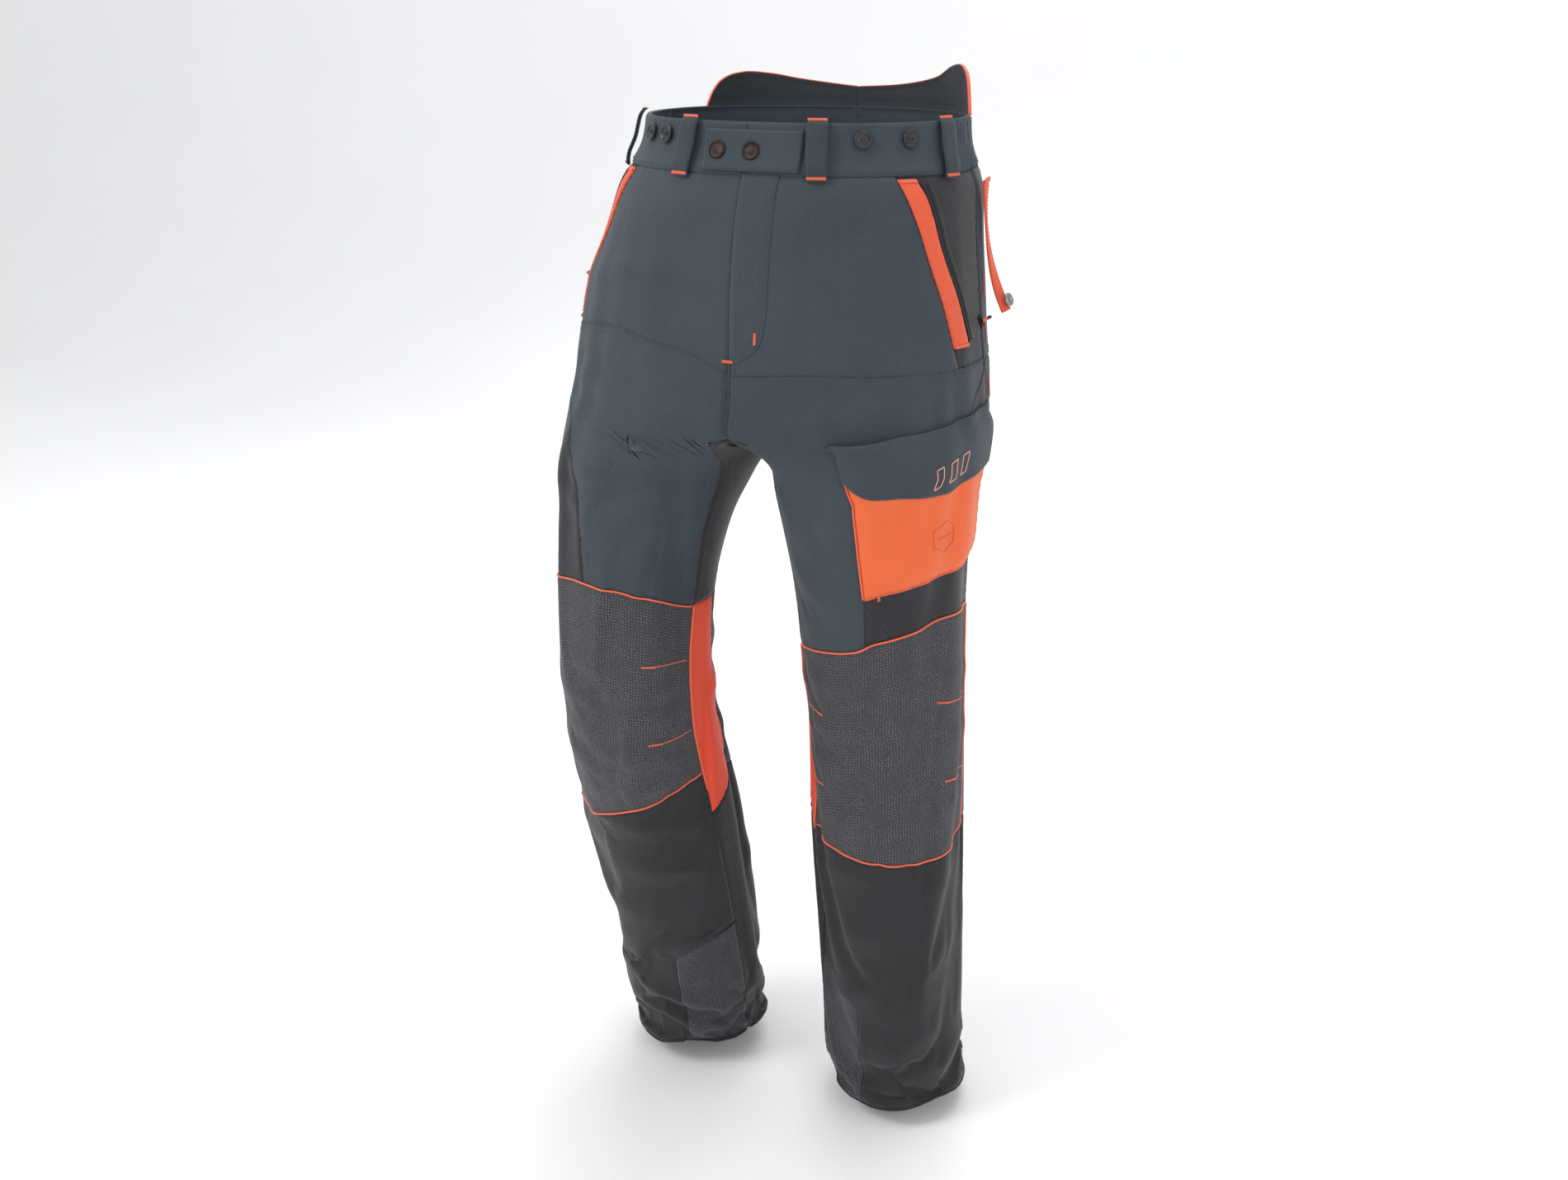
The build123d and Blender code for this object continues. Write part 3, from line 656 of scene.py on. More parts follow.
def panel(
    name, side, left, right, top, bottom, finish, lift=0.0, thick=1.4, step=3.6, body=None, edge=0.7,
    pucker=0.28
):
    """One cut of cloth lying on the figure, sunk and puckered along its seams."""
    rough = corners(left, right, top, bottom, 12, 12)
    spots = on_cloth(side, *rough)
    wide = np.linalg.norm(np.diff(spots, axis=1), axis=2).sum(1)
    high = np.linalg.norm(np.diff(spots, axis=0), axis=2).sum(0)
    across = int(np.clip(wide.max() / MM / step, 4, 150))
    down = int(np.clip(high.max() / MM / step, 4, 200))
    phi, h = corners(left, right, top, bottom, across, down)
    place = on_cloth(side, phi, h)
    du = np.zeros(phi.shape)
    dv = np.zeros(phi.shape)
    du[:, 1:] = np.cumsum(np.linalg.norm(np.diff(place, axis=1), axis=2), axis=1)
    dv[1:] = np.cumsum(np.linalg.norm(np.diff(place, axis=0), axis=2), axis=0)
    from_left, from_right = du / MM, (du[:, -1:] - du) / MM
    from_top, from_low = dv / MM, (dv[-1:] - dv) / MM
    near_side = np.minimum(from_left, from_right)
    near_end = np.minimum(from_top, from_low)
    near = np.minimum(near_side, near_end)
    drop = -edge * np.exp(-((near / 2.6) ** 2)) + 0.25 * np.exp(-(((near - 5.5) / 2.5) ** 2))
    wave = np.sin(dv / MM * 0.62 + 2.0 * np.sin(dv / MM * 0.043)) * np.exp(-near_side / 7.0)
    wave = wave + np.sin(du / MM * 0.58 + 2.2 * np.sin(du / MM * 0.037)) * np.exp(-near_end / 7.0)
    base = lift(phi, h) if callable(lift) else lift
    raised = np.broadcast_to(base, phi.shape) + drop + pucker * wave
    outer = on_cloth(side, phi, h, raised)
    inner = on_cloth(side, phi, h, raised - thick)
    mid_u = du - du[:, -1:] / 2
    uv = np.stack([mid_u, -dv], -1)
    piece = shell(name, outer, inner, uv, finish)
    quads = np.cross(place[1:, :-1] - place[:-1, :-1], place[:-1, 1:] - place[:-1, :-1])
    CUT[name] = (float(wide.max()), float(high.max()), float(np.linalg.norm(quads, axis=2).sum()))
    if body:
        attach(piece, body)
    return piece


def sewn(piece, *nodes, held="stretched"):
    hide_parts(*nodes)


# ---- threads, tapes and cords that follow the cloth ---------------------------------------
def walk(side, path, gap=3.0, lift=0.0):
    """Evenly spaced points and outward directions along a path of (heading, height)."""
    path = np.asarray(path, float)
    part = np.linspace(0, 1, len(path))
    fine = np.linspace(0, 1, max(60, 14 * len(path)))
    phi = np.interp(fine, part, path[:, 0])
    h = np.interp(fine, part, path[:, 1])
    spots = on_cloth(side, phi, h)
    far = np.concatenate([[0], np.cumsum(np.linalg.norm(np.diff(spots, axis=0), axis=1))])
    number = max(2, int(far[-1] / (gap * MM)) + 1)
    even = np.linspace(0, far[-1], number)
    phi, h = np.interp(even, far, phi), np.interp(even, far, h)
    low = on_cloth(side, phi, h, lift)
    out = on_cloth(side, phi, h, lift + 1.0) - low
    out /= np.linalg.norm(out, axis=1, keepdims=True)
    return low, out


def along(points):
    way = np.gradient(points, axis=0)
    return way / (np.linalg.norm(way, axis=1, keepdims=True) + 1e-12)


class Heap:
    """Collects many small closed shapes into one mesh."""

    def __init__(self):
        self.points, self.faces, self.count = [], [], 0

    def add(self, points, faces):
        self.points.append(points)
        self.faces.extend([tuple(int(i) + self.count for i in f) for f in faces])
        self.count += len(points)

    def tube(self, points, out, wide, high, around=8, ends=0.5):
        """A rounded cord or thread with an oval section."""
        way = along(points)
        across = np.cross(way, out)
        turn = np.linspace(0, 2 * np.pi, around, endpoint=False)
        size = np.ones(len(points))
        size[0] = size[-1] = ends
        ring = points[:, None] + size[:, None, None] * (
            across[:, None] * (wide / 2 * np.cos(turn))[None, :, None]
            + out[:, None] * (high / 2 * np.sin(turn))[None, :, None]
        ) * MM
        number = np.arange(len(points) * around).reshape(len(points), around)
        following = np.roll(number, -1, 1)
        faces = np.stack([number[:-1], following[:-1], following[1:], number[1:]], -1).reshape(-1, 4)
        self.add(ring.reshape(-1, 3), [tuple(f) for f in faces] + [tuple(number[0][::-1]), tuple(number[-1])])

    def tape(self, points, out, wide, high):
        """A flat band with softened edges."""
        way = along(points)
        across = np.cross(way, out)
        half = wide / 2
        section = [(-half, 0), (-half, high * 0.6), (-half + 0.5, high), (-half * 0.4, high * 1.04),
                   (half * 0.4, high * 1.04), (half - 0.5, high), (half, high * 0.6), (half, 0)]
        ring = np.stack([points + (across * a + out * b) * MM for a, b in section], 1)
        number = np.arange(ring.shape[0] * len(section)).reshape(ring.shape[:2])
        following = np.roll(number, -1, 1)
        faces = np.stack([number[:-1], following[:-1], following[1:], number[1:]], -1).reshape(-1, 4)
        self.add(ring.reshape(-1, 3), [tuple(f) for f in faces] + [tuple(number[0][::-1]), tuple(number[-1])])

    def stitches(self, points, out, length=2.6, gap=1.0, thick=0.55):
        """A row of thread stitches, each one sunk at its ends."""
        far = np.concatenate([[0], np.cumsum(np.linalg.norm(np.diff(points, axis=0), axis=1))]) / MM
        number = int(far[-1] / (length + gap))
        for k in range(number):
            start = k * (length + gap)
            where = start + np.array([0.0, 0.3, 0.7, 1.0]) * length
            spot = np.stack([np.interp(where, far, points[:, i]) for i in range(3)], 1)
            up = np.stack([np.interp(where, far, out[:, i]) for i in range(3)], 1)
            rise = np.array([-0.15, 0.22, 0.22, -0.15])[:, None] * MM
            self.tube(spot + up * rise, up, thick, thick * 0.8, around=5, ends=0.6)

    def bartack(self, points, out, wide=3.2):
        """Close zigzag thread that locks the end of a seam."""
        way = along(points)
        across = np.cross(way, out)
        far = np.concatenate([[0], np.cumsum(np.linalg.norm(np.diff(points, axis=0), axis=1))]) / MM
        number = max(4, int(far[-1] / 0.55))
        where = np.linspace(0, far[-1], number)
        spot = np.stack([np.interp(where, far, points[:, i]) for i in range(3)], 1)
        side_way = np.stack([np.interp(where, far, across[:, i]) for i in range(3)], 1)
        up = np.stack([np.interp(where, far, out[:, i]) for i in range(3)], 1)
        for k in range(number - 1):
            reach = wide / 2 * MM
            a = spot[k] - side_way[k] * reach
            b = spot[k + 1] + side_way[k + 1] * reach
            mid = (a + b) / 2 + up[k] * 0.35 * MM
            self.tube(
                np.array([a, mid, b]) + up[k] * 0.35 * MM, np.array([up[k]] * 3), 0.62, 0.55, around=5,
                ends=0.6
            )

    def finish(self, name, material, body, smooth=True):
        if not self.count:
            return None
        piece = make(name, np.concatenate(self.points), self.faces, material, smooth)
        if body:
            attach(piece, body)
        return piece


def seam_path(function, start, end, number=40, upright=False):
    """A path of (heading, height) along a seam function."""
    t = np.linspace(start, end, number)
    values = function(t)
    return np.stack([values, t], 1) if upright else np.stack([t, values], 1)


# ---- finishes --------------------------------------------------------------------------
def linear(hex_colour):
    """sRGB hex to the linear numbers a shader needs."""
    value = np.array([int(hex_colour[i:i + 2], 16) for i in (1, 3, 5)]) / 255
    value = np.where(value <= 0.04045, value / 12.92, ((value + 0.055) / 1.055) ** 2.4)
    return (*[float(v) for v in value], 1.0)


def node(tree, kind, links=(), values=(), **settings):
    """Adds one node: its settings, its fixed values, and what each input is fed by."""
    made = tree.nodes.new(kind)
    for key, value in settings.items():
        setattr(made, key, value)
    for socket, value in dict(values).items():
        made.inputs[socket].default_value = value
    for socket, source in dict(links).items():
        tree.links.new(source, made.inputs[socket])
    return made


def start(name, rough, **values):
    material = bpy.data.materials.new(name)
    material.use_nodes = True
    tree = material.node_tree
    tree.nodes.clear()
    shader = node(tree, "ShaderNodeBsdfPrincipled", values={"Roughness": rough, **values})
    node(tree, "ShaderNodeOutputMaterial", links={"Surface": shader.outputs[0]})
    return material, tree, shader


def woven(name, thread, valley, spacing, weave, rough, sheen, depth, cloudy=0.16, speck=None):
    """Woven cloth: threads at a spacing in millimetres, slubs, fading and small creases."""
    material, tree, shader = start(
        name, rough, **{"Sheen Weight": sheen, "Sheen Roughness": 0.5, "IOR": 1.46}
    )
    flat = node(tree, "ShaderNodeUVMap", uv_map="cloth").outputs[0]
    place = node(tree, "ShaderNodeTexCoord").outputs["Object"]
    sized = node(tree, "ShaderNodeMapping", {"Vector": flat}, {"Scale": (1 / (spacing * MM),) * 3}).outputs[0]
    if weave == "twill":
        turned = node(tree, "ShaderNodeMapping", {"Vector": sized}, {"Rotation": (0, 0, 0.52)}).outputs[0]
        threads = node(
            tree, "ShaderNodeTexWave", {"Vector": turned},
            {"Scale": 0.314, "Distortion": 0.5, "Detail": 1.0}, bands_direction="X"
        ).outputs["Fac"]
    else:
        rows = node(
            tree, "ShaderNodeTexWave", {"Vector": sized},
            {"Scale": 0.314, "Distortion": 0.3, "Detail": 1.0}, bands_direction="X"
        ).outputs["Fac"]
        picks = node(
            tree, "ShaderNodeTexWave", {"Vector": sized},
            {"Scale": 0.314, "Distortion": 0.3, "Detail": 1.0}, bands_direction="Y"
        ).outputs["Fac"]
        threads = node(tree, "ShaderNodeMath", {0: rows, 1: picks}, operation="MULTIPLY").outputs[0]
    slub = node(tree, "ShaderNodeTexNoise", {"Vector": sized}, {"Scale": 0.7, "Detail": 3.0}).outputs["Fac"]
    faded = node(
        tree, "ShaderNodeTexNoise", {"Vector": place}, {"Scale": 9.0, "Detail": 4.0, "Roughness": 0.6}
    ).outputs["Fac"]
    crease = node(
        tree, "ShaderNodeTexNoise", {"Vector": place}, {"Scale": 42.0, "Detail": 3.0, "Distortion": 1.2}
    ).outputs["Fac"]
    uneven = node(tree, "ShaderNodeMath", {0: threads, 1: slub}, operation="MULTIPLY").outputs[0]
    colour = node(
        tree, "ShaderNodeMix", {"Factor": uneven}, {6: linear(valley), 7: linear(thread)}, data_type="RGBA"
    ).outputs[2]
    shade = node(
        tree, "ShaderNodeMapRange", {"Value": faded},
        {"From Min": 0.3, "From Max": 0.7, "To Min": 1 - cloudy, "To Max": 1 + cloudy}
    ).outputs[0]
    colour = node(
        tree, "ShaderNodeMix", {6: colour, 7: shade}, {"Factor": 1.0}, data_type="RGBA",
        blend_type="MULTIPLY"
    ).outputs[2]
    if speck:
        tone, size, amount = speck
        checked = node(
            tree, "ShaderNodeMapping", {"Vector": flat}, {"Scale": (1 / (size * MM),) * 3}
        ).outputs[0]
        dots = node(
            tree, "ShaderNodeTexVoronoi", {"Vector": checked}, {"Scale": 1.0, "Randomness": 0.25},
            distance="CHEBYCHEV"
        ).outputs["Distance"]
        small = node(
            tree, "ShaderNodeMapRange", {"Value": dots},
            {"From Min": 0.16, "From Max": 0.26, "To Min": 1.0, "To Max": 0.0}
        ).outputs[0]
        worn = node(
            tree, "ShaderNodeTexNoise", {"Vector": place}, {"Scale": 60.0, "Detail": 2.0}
        ).outputs["Fac"]
        kept = node(
            tree, "ShaderNodeMapRange", {"Value": worn},
            {"From Min": 0.25, "From Max": 0.75, "To Min": 0.25 * amount, "To Max": amount}
        ).outputs[0]
        shown = node(tree, "ShaderNodeMath", {0: small, 1: kept}, operation="MULTIPLY").outputs[0]
        colour = node(
            tree, "ShaderNodeMix", {"Factor": shown, 6: colour}, {7: linear(tone)}, data_type="RGBA"
        ).outputs[2]
    tree.links.new(colour, shader.inputs["Base Color"])
    fine = node(
        tree, "ShaderNodeBump", {"Height": uneven}, {"Strength": 0.55, "Distance": depth * MM}
    ).outputs[0]
    soft = node(
        tree, "ShaderNodeBump", {"Height": crease, "Normal": fine}, {"Strength": 0.5, "Distance": 1.6 * MM}
    ).outputs[0]
    tree.links.new(soft, shader.inputs["Normal"])
    return material


def thread_finish(name, colour, dark):
    """Polyester sewing thread: a bright twisted line with dark gaps between its plies."""
    material, tree, shader = start(name, 0.5, **{"Sheen Weight": 0.3, "IOR": 1.5})
    place = node(tree, "ShaderNodeTexCoord").outputs["Object"]
    plies = node(
        tree, "ShaderNodeTexNoise", {"Vector": place}, {"Scale": 900.0, "Detail": 2.0}
    ).outputs["Fac"]
    mixed = node(
        tree, "ShaderNodeMix", {"Factor": plies}, {6: linear(dark), 7: linear(colour)}, data_type="RGBA"
    )
    tree.links.new(mixed.outputs[2], shader.inputs["Base Color"])
    bump = node(tree, "ShaderNodeBump", {"Height": plies}, {"Strength": 0.4, "Distance": 0.2 * MM})
    tree.links.new(bump.outputs[0], shader.inputs["Normal"])
    return material


def hard(name, colour, worn, rough, metallic=0.0, grain=500.0, depth=0.08):
    """Moulded plastic or plated metal with fine grain and rubbed edges."""
    material, tree, shader = start(name, rough, **{"Metallic": metallic})
    place = node(tree, "ShaderNodeTexCoord").outputs["Object"]
    cloud = node(
        tree, "ShaderNodeTexNoise", {"Vector": place}, {"Scale": grain / 4, "Detail": 4.0}
    ).outputs["Fac"]
    fine = node(tree, "ShaderNodeTexNoise", {"Vector": place}, {"Scale": grain, "Detail": 2.0}).outputs["Fac"]
    patch = node(
        tree, "ShaderNodeMapRange", {"Value": cloud}, {"From Min": 0.45, "From Max": 0.75}
    ).outputs[0]
    mixed = node(
        tree, "ShaderNodeMix", {"Factor": patch}, {6: linear(colour), 7: linear(worn)}, data_type="RGBA"
    )
    tree.links.new(mixed.outputs[2], shader.inputs["Base Color"])
    rub = node(
        tree, "ShaderNodeMapRange", {"Value": cloud}, {"To Min": rough - 0.08, "To Max": rough + 0.12}
    ).outputs[0]
    tree.links.new(rub, shader.inputs["Roughness"])
    bump = node(tree, "ShaderNodeBump", {"Height": fine}, {"Strength": 0.5, "Distance": depth * MM})
    tree.links.new(bump.outputs[0], shader.inputs["Normal"])
    return material


# Polyester-cotton twill, piece dyed blue-grey: fine slanting ribs, matt with a faint bloom.
# Its ribs are 0.5 mm apart; drawn at 1.5 mm so that they show.
slate_twill = woven("slate_polycotton_twill", "#46525b", "#2c353c", 1.5, "twill", 0.78, 0.12, 0.35)
# The same cloth on the inside of the raised flap: brushed, so rougher and plain in weave, and painted a shade
# darker and less blue, which is painted shade on that inner face.
flap_inside_painted_shade = woven("slate_twill_inside_painted_shade", "#3f4347", "#2a2d30", 1.4, "plain", 0.85, 0.15, 0.3)
# Four-way stretch nylon-elastane: near black, smooth, a soft grey edge light.
black_stretch = woven("black_stretch_nylon", "#2f2f33", "#1d1d21", 1.2, "plain", 0.68, 0.16, 0.25, 0.14)
# The shin cloth: the same stretch nylon in a coarser, drier weave.
shin_stretch = woven("black_stretch_canvas", "#2f2f33", "#1a1a1d", 1.6, "plain", 0.74, 0.14, 0.4, 0.2)
# Coated ripstop: charcoal ground with a raised light thread crossing every 3 mm.
charcoal_ripstop = woven(
    "charcoal_coated_ripstop", "#47484c", "#303135", 1.5, "plain", 0.7, 0.1, 0.6, 0.06,
    ("#8a8c90", 3.0, 0.6)
)
ankle_ripstop = woven(
    "charcoal_ankle_ripstop", "#3c3d41", "#27282c", 1.5, "plain", 0.68, 0.12, 0.6, 0.12,
    ("#7c7e83", 3.0, 0.6)
)
# Warning-orange polyester, calendered: flat strong colour, soft shine on the folds.
orange_pocket = woven("orange_polyester_cloth", "#f8803f", "#e8612b", 1.3, "plain", 0.62, 0.1, 0.25, 0.05)
orange_knee = woven("red_orange_stretch_cloth", "#f25f3b", "#e04526", 1.3, "plain", 0.66, 0.1, 0.25, 0.06)
orange_tape = woven("orange_edging_tape", "#f76f47", "#e0502c", 0.9, "twill", 0.6, 0.08, 0.2, 0.05)
orange_cord = thread_finish("orange_piping_cord", "#f7714a", "#dd4a26")
orange_thread = thread_finish("orange_polyester_thread", "#f97a52", "#dc4a25")
slate_thread = thread_finish("slate_polyester_thread", "#39434b", "#242b31")
black_thread = thread_finish("black_polyester_thread", "#29292d", "#151517")
pale_thread = thread_finish("pale_orange_thread", "#f9b7a0", "#ee8d70")
# Snap caps: brass plated gunmetal and lacquered, brown-black with rubbed high spots.
gunmetal = hard("lacquered_gunmetal", "#2f2927", "#453c38", 0.42, 1.0, 700, 0.05)
# Buttons and pull tips: moulded polyester resin, black, slightly glossy.
black_resin = hard("moulded_black_resin", "#1a1c1d", "#2a2c2e", 0.32, 0.0, 600, 0.05)
steel = hard("nickel_plated_steel", "#8f9093", "#b4b5b7", 0.3, 1.0, 900, 0.04)
# Loose layers of protective fibre in the cut pads, sewn up inside the legs: cream, dull.
cut_fibre = woven("loose_aramid_fibre", "#d8d2b6", "#b9b294", 2.0, "plain", 0.8, 0.2, 0.8)


# ---- the cuts of cloth -----------------------------------------------------------------
ANKLE = {
    LEFT: line((-840, -144), (-858, -143), (-900, -98), (-1040, -96)),
    RIGHT: line((-840, -166), (-848, -165), (-856, -148), (-894, -107), (-1040, -109)),
}
HEMS = {
    LEFT: line(
        (-147, -1008), (-103, -1027), (-73, -1029), (-30, -1022), (7, -1028), (60, -1029), (150, -1024),
        (216, -1008)
    ),
    RIGHT: line(
        (-166, -1014), (-145, -1019), (-108, -1014), (-75, -1027), (-3, -1029), (60, -1028), (140, -1024),
        (195, -1014)
    ),
}
INNER_LOW = {
    LEFT: line((-203, -462), (-172, -484), (-144, -486)),
    RIGHT: line((-203, -436), (-190, -440), (-165, -441))
}
BACK_EDGE = {
    LEFT: line((18, -462), (157, -462), (190, -484)), RIGHT: line((-3, -436), (157, -436), (172, -440))
}
CALF_TOP = {
    LEFT: line((18, -690), (205, -690), (216, -698)),
    RIGHT: line((-3, -650), (163, -650), (169, -662), (195, -690)),
}


def bend(piece):
    """Bakes the piece's placement into its points."""
    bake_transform(piece)


def turned(function, by=360.0):
    return lambda x: function(x) + by


for side in (LEFT, RIGHT):
    word = "_" + NAMES[side]
    shin = SHIN[side]
    sewn(
        panel(
            "front_cloth" + word, side, -90, MOUTH[side], BAND_LOW, YOKE[side], slate_twill, body="trousers"
        ),
        "front_panel" + word
    )
    sewn(
        panel(
            "side_cloth" + word, side, MOUTH[side], OUT[side], BAND_LOW, YOKE[side], black_stretch,
            lift=-1.0, body="trousers"
        ),
        "side_panel" + word
    )
    sewn(
        panel(
            "seat_cloth" + word, side, OUT[side], 90, BAND_LOW, SEAT_LOW[side], slate_twill, body="trousers"
        ),
        "seat_panel" + word
    )
    sewn(
        panel(
            "thigh_cloth" + word, side, INN[side], STRIPE[side], YOKE[side], KNEE_TOP[side], slate_twill,
            body="trousers"
        ),
        "thigh_panel" + word
    )
    sewn(
        panel(
            "outer_stripe_cloth" + word, side, STRIPE[side], OUT[side], -204, KNEE_TOP[side], black_stretch,
            body="trousers"
        ),
        "outer_stripe" + word
    )
    sewn(
        panel(
            "back_thigh_cloth" + word, side, OUT[side], INB[side], SEAT_LOW[side], BACK_TOP[side],
            black_stretch, body="trousers"
        ),
        "back_thigh" + word
    )
    sewn(
        panel(
            "inner_thigh_cloth" + word, side, turned(INB[side], -360.0), INN[side], -262.5, INNER_LOW[side],
            black_stretch, body="trousers"
        ),
        "inner_thigh" + word
    )
    knees = [
        (
            panel(
                "knee_cloth" + word, side, INN[side], OUT[side], KNEE_TOP[side], KNEE_LOW[side],
                charcoal_ripstop, lift=0.5, step=3.0
            ),
            "knee_patch"
        ),
        (
            panel(
                "knee_inner_cloth" + word, side, INNER_KNEE[side], INN[side], KNEE_TOP[side], TIP[side],
                orange_knee
            ),
            "knee_inner"
        ),
        (
            panel(
                "knee_back_cloth" + word, side, OUT[side], turned(INNER_KNEE[side]), BACK_EDGE[side],
                BACK_LOW[side], slate_twill
            ),
            "knee_back"
        ),
    ]
    for piece, whose in knees:
        sewn(piece, whose + word)
        bend(piece)
    sewn(
        panel(
            "shin_cloth" + word, side, ANKLE[side], OUT[side], KNEE_LOW[side], HEMS[side], shin_stretch,
            body=shin
        ),
        "shin_panel" + word
    )
    sewn(
        panel(
            "ankle_cloth" + word, side, INN[side], ANKLE[side], -858 if side == LEFT else -849, HEMS[side],
            ankle_ripstop, lift=0.3, body=shin
        ),
        "ankle_patch" + word
    )
    sewn(
        panel(
            "calf_cloth" + word, side, OUT[side], turned(INN[side]), CALF_TOP[side], HEMS[side],
            shin_stretch, body=shin
        ),
        "calf_panel" + word
    )

    def quilted(phi, h):
        return -3.4 + 1.1 * np.cos(phi * 0.19) * np.cos(h * 0.075)

    for name, body, left, right, top, bottom in (
        ("cut_pad_thigh", "trousers", -108, 0, -300, BACK_TOP[side] + 12),
        ("cut_pad_shin", shin, -130, 4, -714, -1004),
    ):
        pad = panel(
            name + "_fibre" + word, side, left, right, top, bottom, cut_fibre, lift=quilted, thick=4.6,
            step=6.0, body=body
        )
        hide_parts(name + word)


# ---- waistband, its loops and the raised flap ----------------------------------------
def joined(name, *pieces):
    with bpy.context.temp_override(active_object=pieces[0], selected_editable_objects=list(pieces)):
        bpy.ops.object.join()
    pieces[0].name = name
    return pieces[0]


def gathers(phi, h):
    """Elastic in the side of the band pulls the cloth into upright ribs."""
    where = np.exp(-(((phi + 1) / 13.0) ** 4))
    return 1.0 + where * (0.9 * np.sin(phi * 2.5) + 0.3 * np.sin(phi * 5.3 + h * 0.05))


def band_lift(phi, h):
    return 1.0 + 0.5 * np.sin(phi * 0.16 + 1.0) * np.sin((h + 25) / 45 * np.pi)


for side in (LEFT, RIGHT):
    word = "_" + NAMES[side]
    lift = gathers if side == LEFT else band_lift
    band = panel(
        "band_cloth" + word, side, -90, OUT[side], BAND_TOP, BAND_LOW, slate_twill, lift=lift, thick=3.4,
        step=1.6, body="trousers", edge=1.0, pucker=0.2
    )
    sewn(band, "waistband_front" + word)
halves = [
    panel(
        "band_back_" + NAMES[side], side, OUT[side], 90, BAND_TOP, BAND_LOW, slate_twill, lift=gathers,
        thick=3.4, step=1.6, edge=1.0, pucker=0.2
    )
    for side in (LEFT, RIGHT)
]
CUT["band_back"] = (CUT["band_back_left"][0] * 2, CUT["band_back_left"][1], CUT["band_back_left"][2] * 2)
band = joined("band_back", *halves)
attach(band, "trousers")
sewn(band, "waistband_back")

FLAP_TOP = {
    LEFT: line(
        (21, 22), (22, 34), (25, 50), (30, 59), (37, 64), (45, 61), (55, 51), (66, 45), (78, 41), (90, 39)
    ),
    RIGHT: line((27, 22), (29, 34), (33, 45), (39, 51), (46, 53), (56, 51), (68, 46), (80, 42), (90, 39)),
}
FLAP_SIDE = {LEFT: 21.0, RIGHT: 27.0}


def flap_lift(phi, h):
    rise = np.clip((h - 22) / 50, 0, 1)
    return 1.0 + rise * (
        1.6 * np.sin(phi * 0.11 + 0.6) + 0.8 * np.sin(phi * 0.27)
    ) * np.sin(np.radians(np.clip(90 - phi, 0, 90)))


# The inward faces of the raised flap take the darker copy of the twill: painted shade on the inside.
halves = [
    panel(
        "flap_half_" + NAMES[side], side, FLAP_SIDE[side], 90, FLAP_TOP[side], BAND_TOP - 1,
        [slate_twill, flap_inside_painted_shade], lift=flap_lift, thick=2.6, step=2.4, edge=0.3, pucker=0.1
    )
    for side in (LEFT, RIGHT)
]
CUT["raised_flap"] = (CUT["flap_half_left"][0] * 2, CUT["flap_half_left"][1], CUT["flap_half_left"][2] * 2)
flap = joined("raised_flap", *halves)
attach(flap, "trousers")
sewn(flap, "kidney_flap")

trim = Heap()
for side in (LEFT, RIGHT):
    rising = [(FLAP_SIDE[side], h) for h in np.linspace(19, 22, 3)]
    over = [(a, float(FLAP_TOP[side](a))) for a in np.linspace(FLAP_SIDE[side], 89.6, 90)]
    spots, out = walk(side, rising + over, gap=2.0, lift=0.0)
    trim.tube(spots, out, 1.6, 3.4, around=10, ends=1.0)
trim.finish("flap_binding", orange_cord, "trousers")

loops = {
    "front_left": (LEFT, -68.0), "side_left": (LEFT, -16.0), "front_right": (RIGHT, -70.0),
    "side_right": (RIGHT, -20.0), "back": (LEFT, 90.0)
}
loop_heights = np.array([23.5, 22.5, 20, 15, 7, -3, -13, -20, -25, -28.5, -30])
loop_lifts = np.array([0.6, 2.2, 4.6, 6.6, 7.4, 7.6, 7.4, 6.6, 4.6, 2.2, 0.6])
bars = Heap()
for name, (side, phi) in loops.items():
    low = on_cloth(side, phi, loop_heights, loop_lifts)
    out = on_cloth(side, phi, np.full(11, -3.0), 5.0) - on_cloth(side, phi, np.full(11, -3.0), 0.0)
    out /= np.linalg.norm(out, axis=1, keepdims=True)
    fine = np.linspace(0, 10, 41)
    low = np.stack([through(np.arange(11.0), low[:, i], fine) for i in range(3)], 1)
    out = np.repeat(out[:1], 41, 0)
    strip = Heap()
    strip.tape(low, out, 19.5, 1.9)
    loop = strip.finish("loop_" + name, slate_twill, "trousers")
    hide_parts("belt_loop_" + name)
    way = np.cross(out[0], [0, 0, 1.0])
    for k in (5, 35):
        middle = low[k] + out[k] * 2.0 * MM
        ends = np.linspace(-9.2, 9.2, 14)[:, None] * way * MM + middle
        bars.bartack(ends, np.repeat(out[:1], 14, 0), wide=3.0)
    edge = Heap()
    for reach in (-7.6, 7.6):
        edge.stitches(low[6:35] + way * reach * MM + out[6:35] * 1.85 * MM, out[6:35])
    edge.finish("loop_thread_" + name, slate_thread, "trousers")
bars.finish("loop_bartacks", orange_thread, "trousers")


def heading_of(side, x, h):
    """The heading on the front where the cloth is this far out from the middle."""
    angles = np.linspace(-90, -20, 60)
    reach = np.abs(on_cloth(side, angles, np.full(60, h))[:, 0]) / MM
    return float(np.interp(abs(x), reach, angles))


def across_front(x, h, lift):
    side = LEFT if x >= 0 else RIGHT
    return on_cloth(side, heading_of(side, x, h), h, lift)


